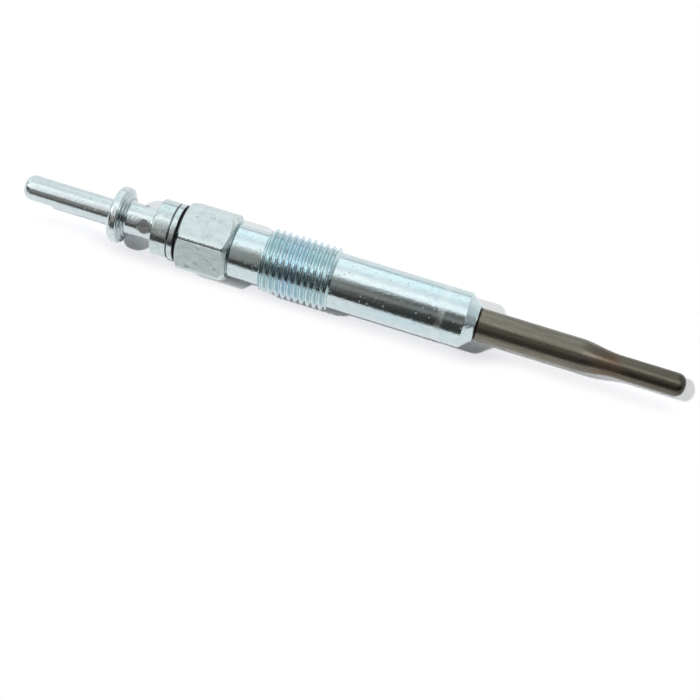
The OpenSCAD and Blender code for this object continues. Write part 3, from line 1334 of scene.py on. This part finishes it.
    def hexagon(self, stations: np.ndarray, turns: np.ndarray, radii: np.ndarray) -> np.ndarray:
        """Cuts the hexagon's flats, with worn, rounded edges between them.

        Args:
            stations: Station of each vertex.
            turns: Angle of each vertex from straight up.
            radii: Radius of the turned blank.

        Returns:
            The radius with the flats cut.
        """
        sixth = math.pi / 3
        from_corner = np.mod(turns, sixth) - sixth / 2
        edge_number = np.floor(turns / sixth)
        wave = sum(np.sin(stations * pace + edge_number * pace) for pace in self.wear_paces) / 2
        rounding = self.hex_edge + self.hex_wear / 2 * wave
        flat = self.hex_apothem / np.cos(sixth / 2 - np.abs(from_corner))
        centre = (self.hex_apothem - rounding) / math.cos(sixth / 2)
        inside = np.maximum(rounding**2 - (centre * np.sin(from_corner)) ** 2, 0)
        rounded = centre * np.cos(from_corner) + np.sqrt(inside)
        side = np.where(np.abs(from_corner) < self.corner_reach(rounding), rounded, flat)
        here = (stations > self.hex_at - self.slack) & (stations < self.shank_at + self.slack)
        outer = radii > self.counterbore_r + self.bore_margin
        return np.where(here & outer, smooth_min(radii, side, self.hex_blend), radii)

    def thread_tree(self) -> ShapeTree:
        """Geometry Nodes that cut a right-hand thread into the turned blank.

        Returns:
            The tree, with its inputs in metres.
        """
        t = ShapeTree("thread_cut")
        height, start, end, pitch = t.take("Axis height", "Start", "End", "Pitch")
        crest_r, depth, crest, root = t.take("Crest radius", "Depth", "Crest share", "Root share")
        crest_blend, root_blend, bore_depth = t.take("Crest blend", "Root blend", "Bore depth")
        x, y, lift, radius = t.about_axis(height)
        turn = t.math("ARCTAN2", lift, y) / math.tau
        phase = t.math("FRACT", (x - start) / pitch - turn + 1.0)
        slope = t.math("ABSOLUTE", phase - 0.5) * 2.0
        cut = (slope - crest) / (1.0 - crest - root)
        cut = t.math("SMOOTH_MAX", t.math("SMOOTH_MIN", cut, 1.0, root_blend), 0.0, crest_blend)
        threaded = t.math("MINIMUM", radius, crest_r - depth * cut)
        inside = t.math("GREATER_THAN", x, start) * t.math("LESS_THAN", x, end)
        outside_bore = t.math("GREATER_THAN", radius, crest_r - bore_depth)
        share = (threaded / radius - 1.0) * inside * outside_bore
        t.shift(t.join(0.0, y * share, lift * share))
        return t

    def plating(self) -> ZincFinish:
        """Bright plating, matt on the hexagon and on one end of the band, with a painted sheen on the
        hexagon's chamfer, painted shade in the relief groove, and a film and painted root shade on the
        thread.

        Returns:
            The finish.
        """
        flats, painted_chamfer_sheen = (0.61, 0.695, 0.70), (0.74, 0.82, 0.815)
        relief, matt = (0.42, 0.46, 0.46), (0.66, 0.755, 0.77)
        relief_middle = self.shank_at + self.relief_width / 2
        matt_end = self.band_at + self.band_length
        worn = {"mottle": 0.3, "dents": 0.025, "edge_roughness": 0.10}
        sheen_at = self.shank_at - self.sheen_length
        relief_at = self.shank_at + self.relief_edge
        return ZincFinish(
            "housing_zinc",
            colour=(0.62, 0.715, 0.735),
            tint=(0.575, 0.71, 0.745),
            zones=(
                ZincZone(self.hex_at, self.shank_at, flats, 0.32, 0.020, **worn),
                # Painted sheen: a paler zone on the hexagon's chamfer towards the shank.
                ZincZone(sheen_at, self.shank_at, painted_chamfer_sheen, 0.28, 0.012, soft=0.12),
                # Painted shade in the relief groove beside the hexagon.
                ZincZone(relief_at, relief_middle, relief, 0.3, 0.012, soft=0.05),
                ZincZone(matt_end - self.band_length / 2, matt_end, matt, 0.24, 0.012, 0.0, soft=0.25),
            ),
            thread=(self.thread_at, self.barrel_at),
        )

    def build(self) -> None:
        """Turns the blank, cuts its thread and dresses it."""
        lathe = Lathe(self.axis, self.column_angles())
        piece = lathe.turn("housing_turned", self.outline(), self.hexagon)
        self.thread_tree().run(
            piece,
            self.plating().make(self.axis),
            Axis_height=self.axis.height,
            Start=self.axis.x(self.thread_at + self.thread_edge),
            End=self.axis.x(self.barrel_at - self.thread_edge),
            Pitch=self.pitch * MM,
            Crest_radius=self.thread_r * MM,
            Depth=self.thread_depth * MM,
            Crest_share=self.crest_share,
            Root_share=self.root_share,
            Crest_blend=self.crest_blend,
            Root_blend=self.root_blend,
            Bore_depth=self.thread_depth * self.bore_depths * MM,
        )
        adopt(piece, "housing")


@dataclass
class HeaterElement:
    """Swaged sheath with its two coils in series."""

    axis: Axis
    sheath_at: float
    nose_at: float
    end_at: float
    sheath_r: float = 2.5
    wall: float = 0.55
    straight: float = 15.55
    swage_length: float = 6.2
    tip_r: float = 1.8
    tip_radius: float = 1.4
    tip_wall: float = 0.8
    swage_rows: int = 28
    tip_rows: float = 0.2
    mouth_edge: float = 0.06
    bore_edge: float = 0.1
    columns: int = 128
    coil_r: float = 0.75
    wire_r: float = 0.15
    wire_sides: int = 12
    turn_steps: int = 28
    tail_steps: int = 16
    control_length: float = 15.81
    control_turns: int = 16
    heating_length: float = 7.0
    heating_turns: int = 10
    tail_length: float = 1.2
    bend_radius: float = 0.35

    @property
    def swage_at(self) -> float:
        """Station where the swage begins."""
        return self.nose_at + self.straight

    @property
    def tail_at(self) -> float:
        """Station where the heating coil ends and its tail begins."""
        return self.end_at - self.tip_wall - self.tail_length

    @property
    def joint_at(self) -> float:
        """Station where the two coils meet."""
        return self.tail_at - self.heating_length

    def swage(self, wide: float, narrow: float) -> list[Corner]:
        """Corners of the smooth swage between two radii.

        Args:
            wide: Radius before the swage.
            narrow: Radius behind it.

        Returns:
            The corners, towards the tip.
        """
        shares = np.linspace(0, 1, self.swage_rows + 1)
        radii = wide + (narrow - wide) * (1 - np.cos(math.pi * shares)) / 2
        return [
            Corner(self.swage_at + self.swage_length * float(share), float(radius))
            for share, radius in zip(shares, radii)
        ]

    def outline(self) -> Outline:
        """Draws the sheath's section, from its closed tip round to the end of its bore.

        Returns:
            The section.
        """
        bore_r, tip_bore_r = self.sheath_r - self.wall, self.tip_r - self.wall
        bore_end = self.end_at - self.tip_wall
        corners = [
            Corner(self.end_at, 0, 0.0, self.tip_rows),
            Corner(self.end_at, self.tip_r, self.tip_radius),
            *reversed(self.swage(self.sheath_r, self.tip_r)),
            Corner(self.sheath_at, self.sheath_r, self.mouth_edge),
            Corner(self.sheath_at, bore_r, self.mouth_edge),
            *self.swage(bore_r, tip_bore_r),
            Corner(bore_end, tip_bore_r, self.bore_edge),
            Corner(bore_end, 0),
        ]
        return Outline(corners, Ends.ON_AXIS, arc_steps=10)

    def wire_tree(self) -> ShapeTree:
        """Geometry Nodes that wind a round wire: even turns, then a bend into a straight tail.

        Returns:
            The tree, with its inputs in metres and radians.
        """
        t = ShapeTree("wound_wire")
        height, coil, wire, turns = t.take("Axis height", "Coil radius", "Wire radius", "Turns")
        start, end, bend, tail, tail_share = t.take("Start", "End", "Bend radius", "Tail", "Tail share")
        rings, sides = t.take("Rings", "Sides", kind="NodeSocketInt")
        line = t.add("GeometryNodeCurvePrimitiveLine", inputs={"End": (1.0, 0.0, 0.0)})
        line = t.add("GeometryNodeResampleCurve", inputs={"Curve": line, "Count": rings})
        place = t.add("GeometryNodeSplineParameter", output="Factor")
        wound_share = 1.0 - tail_share
        wound = t.math("MINIMUM", place / wound_share, 1.0)
        left = t.math("MAXIMUM", place - wound_share, 0.0) / t.math("MAXIMUM", tail_share, 1e-6)
        bending = t.math("MINIMUM", left * 2.0, 1.0) * (math.pi / 2)
        running = t.math("MAXIMUM", left * 2.0 - 1.0, 0.0)
        angle = wound * turns * math.tau + t.math("SINE", bending) * bend / coil
        along = start + wound * (end - start) + (1.0 - t.math("COSINE", bending)) * bend
        along = along + running * (tail - bend)
        spot = t.join(along, coil * t.math("SINE", angle), height - coil * t.math("COSINE", angle))
        path = t.add("GeometryNodeSetPosition", inputs={"Geometry": line, "Position": spot})
        circle = t.add("GeometryNodeCurvePrimitiveCircle", inputs={"Resolution": sides, "Radius": wire})
        inputs = {"Curve": path, "Profile Curve": circle, "Fill Caps": True}
        t.give(t.add("GeometryNodeCurveToMesh", inputs=inputs))
        return t

    def build(self, alloy: AlloyFinish, wire: GrainyFinish) -> None:
        """Turns the sheath, winds the coils and dresses them.

        Args:
            alloy: Finish of the sheath.
            wire: Finish of both coils.
        """
        sheath = Lathe.even(self.axis, self.columns).turn("heater_sheath_swaged", self.outline())
        middle = self.swage_at + self.swage_length / 2
        sheath.data.materials.append(alloy.make(self.axis, self.nose_at, middle, self.end_at))
        adopt(sheath, "heater_sheath")
        tree = self.wire_tree()
        finish = wire.make(self.axis)
        start, joint = self.joint_at - self.control_length, self.joint_at
        self.wind(tree, finish, "control_coil", start, joint, self.control_turns, 0.0)
        self.wind(tree, finish, "heating_coil", joint, self.tail_at, self.heating_turns, self.tail_length)

    def wind(
        self,
        tree: ShapeTree,
        finish: bpy.types.Material,
        node: str,
        start: float,
        end: float,
        turns: int,
        tail: float,
    ) -> None:
        """Winds one coil and lets it stand for its node.

        Args:
            tree: The tree that winds a wire.
            finish: The wire's material.
            node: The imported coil.
            start: Station of the first turn.
            end: Station of the last turn.
            turns: Number of turns.
            tail: Length of the straight tail, or 0 for none.
        """
        steps = self.turn_steps * turns
        tail_steps = self.tail_steps if tail else 0
        coil = link(bpy.data.objects.new(node + "_wire", bpy.data.meshes.new(node + "_wire")))
        tree.run(
            coil,
            finish,
            Axis_height=self.axis.height,
            Coil_radius=self.coil_r * MM,
            Wire_radius=self.wire_r * MM,
            Turns=float(turns),
            Start=self.axis.x(start),
            End=self.axis.x(end),
            Bend_radius=self.bend_radius * MM,
            Tail=tail * MM,
            Tail_share=tail_steps / (steps + tail_steps),
            Rings=steps + tail_steps + 1,
            Sides=self.wire_sides,
        )
        coil.data.shade_smooth()
        adopt(coil, node)


@dataclass(frozen=True)
class Viewpoint:
    """The camera: it looks down on the plug from in front, a little from the right."""

    lens: float = 72.0
    clip: Point = (0.01, 20.0)
    azimuth: float = 18.52
    elevation: float = 68.82
    distance: float = 213.25
    target: tuple[float, float, float] = (3.31, -8.23, 0.0)

    def make(self) -> None:
        """Makes the scene's camera."""
        data = bpy.data.cameras.new("camera")
        data.lens = self.lens
        data.clip_start, data.clip_end = self.clip
        camera = link(bpy.data.objects.new("camera", data))
        a, e = math.radians(self.azimuth), math.radians(self.elevation)
        back = Vector((math.sin(a) * math.cos(e), -math.cos(a) * math.cos(e), math.sin(e)))
        camera.location = Vector(self.target) * MM + back * self.distance * MM
        camera.rotation_euler = (-back).to_track_quat("-Z", "Y").to_euler()
        bpy.context.scene.camera = camera


@dataclass(frozen=True)
class TentStrip:
    """A bright strip of the tent: where its four soft edges lie, along the tent and round it."""

    left: Point
    right: Point
    low: Point
    high: Point

    def mask(self, graph: Graph, x: Value, share: Value) -> Value:
        """A mask that is 1 on the strip."""
        return graph.window(x, self.left, self.right) * graph.window(share, self.low, self.high)


@dataclass(frozen=True)
class TentTint:
    """A colour that takes over part of the tent: where it sets in along the tent and round it."""

    along: Point
    around: Point
    amount: float
    colour: Colour


@dataclass(frozen=True)
class Studio:
    """A white table in a soft light tent that is open and dark on the camera's side, and a key light.

    Places along the tent are in metres, and places round it run from 0 in front to 1 behind.
    """

    tent_radius: float = 0.6
    tent_length: float = 12.0
    tent_steps: int = 96
    tent_level: float = 1.35
    strip_level: float = 2.2
    heater_strip: TentStrip = TentStrip((0.12, 0.18), (0.35, 0.45), (0.44, 0.47), (0.50, 0.53))
    left_strip: TentStrip = TentStrip((-1.3, -1.1), (-0.7, -0.5), (0.35, 0.39), (0.45, 0.51))
    fill_above: float = 0.12
    fill_behind: float = 3.1
    fill_low: Point = (0.60, 0.68)
    fill_high: Point = (0.78, 0.86)
    track_half: float = 0.4
    bright_edge: Track = (
        (-0.27, 0.29),
        (-0.235, 0.33),
        (-0.215, 0.43),
        (-0.19, 0.49),
        (-0.128, 0.50),
        (-0.122, 0.40),
        (-0.09, 0.40),
        (-0.083, 0.475),
        (0.03, 0.455),
        (0.12, 0.45),
        (0.3, 0.48),
    )
    bright_soft: float = 0.03
    dark_edge: Track = (
        (-0.27, 0.14),
        (-0.215, 0.15),
        (-0.19, 0.185),
        (-0.15, 0.125),
        (-0.12, 0.13),
        (-0.08, 0.225),
        (-0.045, 0.26),
        (0.03, 0.235),
        (0.12, 0.27),
    )
    dark_soft: float = 0.02
    grey_level: Track = (
        (-0.27, 0.13),
        (-0.22, 0.28),
        (-0.128, 0.34),
        (-0.122, 0.11),
        (-0.09, 0.11),
        (-0.083, 0.25),
        (-0.045, 0.19),
        (0.03, 0.17),
    )
    dark_level: Track = (
        (-0.36, 0.25),
        (-0.27, 0.10),
        (-0.235, 0.10),
        (-0.215, 0.05),
        (-0.20, 0.02),
        (-0.185, 0.02),
        (-0.17, 0.045),
        (0.03, 0.035),
        (0.12, 0.02),
    )
    under_rise: Point = (-0.14, -0.10)
    under_left: Point = (-0.10, -0.05)
    under_right: Point = (-0.02, 0.02)
    under_loss: float = 0.75
    shade_red: float = 1.06
    shade_blue: float = 0.95
    bright_stops: Stops = (
        (0.45, WHITE),
        (0.58, (1.0, 1.0, 0.99)),
        (0.68, (0.74, 0.76, 0.78)),
        (0.76, (0.86, 0.92, 0.93)),
        (0.86, (0.91, 0.99, 0.99)),
        (0.945, (0.86, 0.94, 0.96)),
        (0.962, (0.40, 0.42, 0.44)),
        (0.99, (0.40, 0.41, 0.44)),
    )
    pin_tint: TentTint = TentTint((-0.205, -0.235), (0.56, 0.66), 0.85, (0.66, 0.69, 0.68))
    heater_tint: TentTint = TentTint((0.0, 0.2), (0.56, 0.62), 0.7, (0.10, 0.10, 0.105))
    right_from: Point = (0.3, 0.6)
    far_right_from: Point = (1.7, 2.1)
    right_edge: float = 0.39
    far_right_edge: float = 0.12
    right_soft: float = 0.04
    right_low: Colour = (0.02, 0.02, 0.02)
    right_high: Colour = (0.54, 0.57, 0.57)
    far_right_high: Colour = (0.24, 0.25, 0.258)
    left_from: Point = (-0.4, -0.7)
    left_stops: Stops = (
        (0.34, (0.04, 0.045, 0.045)),
        (0.39, WHITE),
        (0.46, WHITE),
        (0.53, (0.82, 0.88, 0.89)),
    )
    far_left_from: Point = (-1.1, -1.5)
    far_left: Colour = (0.34, 0.36, 0.37)
    far_left_share: float = 0.8
    floor_size: float = 8.0
    floor_colour: Colour = (0.93, 0.925, 0.945)
    floor_lift: float = 0.07
    floor_half: float = 0.0497
    floor_drift: float = 0.0031
    slim_drift: float = 0.0021
    thick_rise: Point = (-0.045, -0.035)
    thick_fall: Point = (0.019, 0.029)
    white_rise: Point = (0.0058, 0.0090)
    far_rise: Point = (0.0035, 0.0045)
    # Painted light that lightens the plug's shadow on the far side and past the tip.
    painted_far_lift: float = 0.4
    tip_at: Point = (0.0525, 0.0017)
    tip_rise: Point = (0.0515, 0.0525)
    tip_end: Point = (0.0019, 0.0024)
    painted_tip_lift: float = 0.28
    key_strength: float = 2.4
    key_angle: float = 2.5
    key_direction: tuple[float, float, float] = (-0.605, -0.34, 1.0)
    key_colour: Colour = (0.99, 0.975, 1.0)

    def make(self) -> None:
        """Builds the world, the table, the tent and the lamp."""
        bpy.context.scene.view_settings.view_transform = "Standard"
        self.make_world()
        self.make_table()
        self.make_tent()
        self.make_key()

    @staticmethod
    def seen(graph: Graph) -> Value:
        """Tells rays that show a surface from rays that light the scene.

        Args:
            graph: The shader tree.

        Returns:
            A share that is 1 for camera, glossy and transmission rays.
        """
        rays = graph.add("ShaderNodeLightPath").socket.node.outputs
        names = ("Is Camera Ray", "Is Glossy Ray", "Is Transmission Ray")
        camera, glossy, clear = (Value(graph, rays[name]) for name in names)
        return graph.math("MINIMUM", camera + glossy + clear, 1.0)

    @staticmethod
    def sheet(name: str, points: list[tuple], faces: list[tuple]) -> tuple[bpy.types.Object, Graph]:
        """Makes a sheet of the studio.

        Args:
            name: Name of the sheet and of its material.
            points: Its corners in metres.
            faces: Its faces by their corners' numbers.

        Returns:
            The sheet, and the empty shader tree of its material.
        """
        mesh = bpy.data.meshes.new(name)
        mesh.from_pydata(points, [], faces)
        material = bpy.data.materials.new(name)
        mesh.materials.append(material)
        return link(bpy.data.objects.new(name, mesh)), Graph(empty_tree(material))

    @staticmethod
    def light(graph: Graph, colour: Value | Colour, strength: Operand) -> Value:
        """Adds a light of a colour and strength to a shader tree."""
        return graph.add("ShaderNodeEmission", inputs={"Color": colour, "Strength": strength})

    def make_world(self) -> None:
        """A white sky that is seen and mirrored, but lights nothing."""
        world = bpy.data.worlds.new("studio")
        graph = Graph(empty_tree(world))
        sky = graph.add("ShaderNodeBackground", inputs={"Color": WHITE, "Strength": self.seen(graph)})
        graph.add("ShaderNodeOutputWorld", inputs={"Surface": sky})
        bpy.context.scene.world = world

    def make_table(self) -> None:
        """A matt white table that keeps the plug's shadow, with painted light that turns it pure white
        further out and lightens the shadow on the far side and past the tip.
        """
        half = self.floor_size / 2
        points = [(-half, -half, 0), (half, -half, 0), (half, half, 0), (-half, half, 0)]
        table, graph = self.sheet("table", points, [(0, 1, 2, 3)])
        seen = self.seen(graph)
        matt = graph.add("ShaderNodeBsdfDiffuse", inputs={"Color": self.floor_colour})
        lift = self.light(graph, WHITE, seen * self.floor_lift)
        near = graph.add("ShaderNodeAddShader", inputs={0: matt, 1: lift})
        white = self.light(graph, WHITE, 1.0)
        x, y, _ = graph.split(graph.add("ShaderNodeTexCoord", output="Object"))
        # Painted light: the table is mixed towards pure white away from the plug and over parts of its
        # shadow.
        painted_white = graph.math("MAXIMUM", self.painted_whiteness(graph, x, y), self.painted_light_past_tip(graph, x, y)) * seen
        surface = graph.add("ShaderNodeMixShader", inputs={0: painted_white, 1: near, 2: white})
        graph.add("ShaderNodeOutputMaterial", inputs={"Surface": surface})

    def painted_whiteness(self, graph: Graph, x: Value, y: Value) -> Value:
        """Painted whiteness of the table, by the distance from the plug and its shadow, with a painted
        lift that lightens the shadow on the plug's far side.

        Args:
            graph: The table's shader tree.
            x: Place along the plug in metres.
            y: Place across it in metres.

        Returns:
            A share from 0 to 1.
        """
        beyond = graph.math("MAXIMUM", graph.math("ABSOLUTE", x) - self.floor_half, 0.0)
        thick = graph.window(x, self.thick_rise, self.thick_fall)
        aside = y - (self.floor_drift + self.slim_drift * (1.0 - thick))
        outside = graph.smooth(graph.length(beyond, aside), *self.white_rise)
        return graph.math("MAXIMUM", outside, self.painted_far_lift * graph.smooth(y, *self.far_rise))

    def painted_light_past_tip(self, graph: Graph, x: Value, y: Value) -> Value:
        """Painted light past the heater's tip, which lightens the tip's shadow and ends it short and
        round.

        Args:
            graph: The table's shader tree.
            x: Place along the plug in metres.
            y: Place across it in metres.

        Returns:
            A share from 0 to 1.
        """
        onward = graph.math("MAXIMUM", x - self.tip_at[0], 0.0)
        away = graph.length(onward, y - self.tip_at[1])
        past = graph.math("MAXIMUM", graph.smooth(away, *self.tip_end), self.painted_tip_lift)
        return past * graph.smooth(x, *self.tip_rise)

    def make_tent(self) -> None:
        """A curved sheet over the table, dark on the camera's side and bright overhead and behind."""
        half, radius, count = self.tent_length / 2, self.tent_radius, self.tent_steps + 1
        points = [
            (end, -radius * math.cos(angle), radius * math.sin(angle))
            for end in (-half, half)
            for angle in np.linspace(0, math.pi, count)
        ]
        faces = [(k, k + 1, count + k + 1, count + k) for k in range(self.tent_steps)]
        tent, graph = self.sheet("tent", points, faces)
        x, y, z = graph.split(graph.add("ShaderNodeTexCoord", output="Object"))
        share = graph.math("ARCTAN2", z, y * -1.0) / math.pi
        seen = self.seen(graph)
        strips = self.heater_strip.mask(graph, x, share) + self.left_strip.mask(graph, x, share)
        level = self.tent_level * (1.0 + self.strip_level * strips)
        behind = graph.window(share, self.fill_low, self.fill_high)
        fill = self.fill_above + (self.fill_behind - self.fill_above) * behind
        glow = self.tent_ends(graph, x, share, self.tent_middle(graph, x, share))
        light = self.light(graph, glow, seen * level + (1.0 - seen) * fill)
        graph.add("ShaderNodeOutputMaterial", inputs={"Surface": light})
        tent.visible_camera = False
        tent.visible_shadow = False

    def track(self, graph: Graph, x: Value, levels: Track) -> Value:
        """A level that changes along the tent, straight from place to place.

        Args:
            graph: The tent's shader tree.
            x: Place along the tent.
            levels: Places with their levels from 0 to 1, in order.

        Returns:
            The level.
        """
        half, span = self.track_half, 2 * self.track_half
        stops = tuple(((place + half) / span, (level,) * 3) for place, level in levels)
        return graph.ramp((x + half) / span, stops)

    def tent_middle(self, graph: Graph, x: Value, share: Value) -> Value:
        """Colours the tent beside the plug: dark in front, grey further up, bright overhead and behind.

        Args:
            graph: The tent's shader tree.
            x: Place along the tent.
            share: Place round the tent.

        Returns:
            The colour of its light.
        """
        edges = (self.bright_edge, self.dark_edge)
        above_bright, above_dark = (share - self.track(graph, x, edge) for edge in edges)
        grey, dark = (self.track(graph, x, level) for level in (self.grey_level, self.dark_level))
        low = dark + (grey - dark) * graph.smooth(above_dark, -self.dark_soft, self.dark_soft)
        under = graph.smooth(above_bright, *self.under_rise)
        under = under * graph.window(x, self.under_left, self.under_right)
        low = low * (1.0 - self.under_loss * under)
        shade = graph.join(low * self.shade_red, low, low * self.shade_blue)
        bright = graph.ramp(share, self.bright_stops)
        glow = graph.mix(graph.smooth(above_bright, -self.bright_soft, self.bright_soft), shade, bright)
        for tint in (self.pin_tint, self.heater_tint):
            mask = graph.smooth(x, *tint.along) * graph.smooth(share, *tint.around)
            glow = graph.mix(mask * tint.amount, glow, tint.colour)
        return glow

    def tent_ends(self, graph: Graph, x: Value, share: Value, glow: Value) -> Value:
        """Colours the ends of the tent, which only faces turned that way mirror.

        Args:
            graph: The tent's shader tree.
            x: Place along the tent.
            share: Place round the tent.
            glow: The colour of its middle.

        Returns:
            The colour of its light.
        """
        far_right = graph.smooth(x, *self.far_right_from)
        edge = self.right_edge - (self.right_edge - self.far_right_edge) * far_right
        high = graph.mix(far_right, self.right_high, self.far_right_high)
        above = graph.smooth(share - edge, -self.right_soft, self.right_soft)
        glow = graph.mix(graph.smooth(x, *self.right_from), glow, graph.mix(above, self.right_low, high))
        left = graph.ramp(share, self.left_stops)
        glow = graph.mix(graph.smooth(x, *self.left_from), glow, left)
        far_left = graph.smooth(x, *self.far_left_from) * self.far_left_share
        return graph.mix(far_left, glow, self.far_left)

    def make_key(self) -> None:
        """The key light, from the left and a little from the front, which no surface mirrors."""
        data = bpy.data.lights.new("key", "SUN")
        data.energy = self.key_strength
        data.angle = math.radians(self.key_angle)
        data.color = self.key_colour
        lamp = link(bpy.data.objects.new("key", data))
        lamp.visible_glossy = False
        direction = Vector(self.key_direction).normalized()
        lamp.location = direction * self.tent_radius / 2
        lamp.rotation_euler = (-direction).to_track_quat("-Z", "Y").to_euler()


def main() -> None:
    """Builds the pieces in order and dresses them."""
    logging.basicConfig(level=logging.INFO, format="%(message)s")
    axis = Axis.from_frame()
    Viewpoint().make()
    Studio().make()

    sheath_low, sheath_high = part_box("heater_sheath")
    cap = TerminalCap(axis)
    ring = InsulatingRing(axis, cap.end_at)
    housing = Housing(axis, ring.hex_at, axis.station(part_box("o_ring")[1].x))
    heater = HeaterElement(
        axis, axis.station(sheath_low.x), housing.nose_at, axis.station(sheath_high.x)
    )
    cap.build()
    ring.build(GrainyFinish("black_polymer", (0.006, 0.006, 0.007), (0.012, 0.012, 0.012), 0.6))
    housing.build()
    wire = GrainyFinish("resistance_wire", (0.55, 0.50, 0.42), (0.38, 0.35, 0.31), 0.4, 1.0, 6.0, 0.004)
    heater.build(AlloyFinish("oxidised_alloy"), wire)

    rubber = GrainyFinish("seal_rubber", (0.020, 0.020, 0.021), (0.045, 0.043, 0.040), 0.75)
    seal = GrainyFinish("sheath_seal_rubber", (0.20, 0.045, 0.025), (0.12, 0.030, 0.020), 0.7)
    rod = GrainyFinish("rod_steel", (0.52, 0.53, 0.54), (0.40, 0.41, 0.42), 0.32, 1.0, 3.0, 0.003)
    magnesia = GrainyFinish("magnesia_powder", (0.86, 0.85, 0.81), (0.74, 0.72, 0.67), 0.9, 0.0, 5.0, 0.02)
    coat("o_ring", rubber.make(axis))
    coat("sheath_seal", seal.make(axis))
    coat("centre_rod", rod.make(axis))
    coat("magnesia_fill", magnesia.make(axis))


if __name__ == "__main__":
    main()
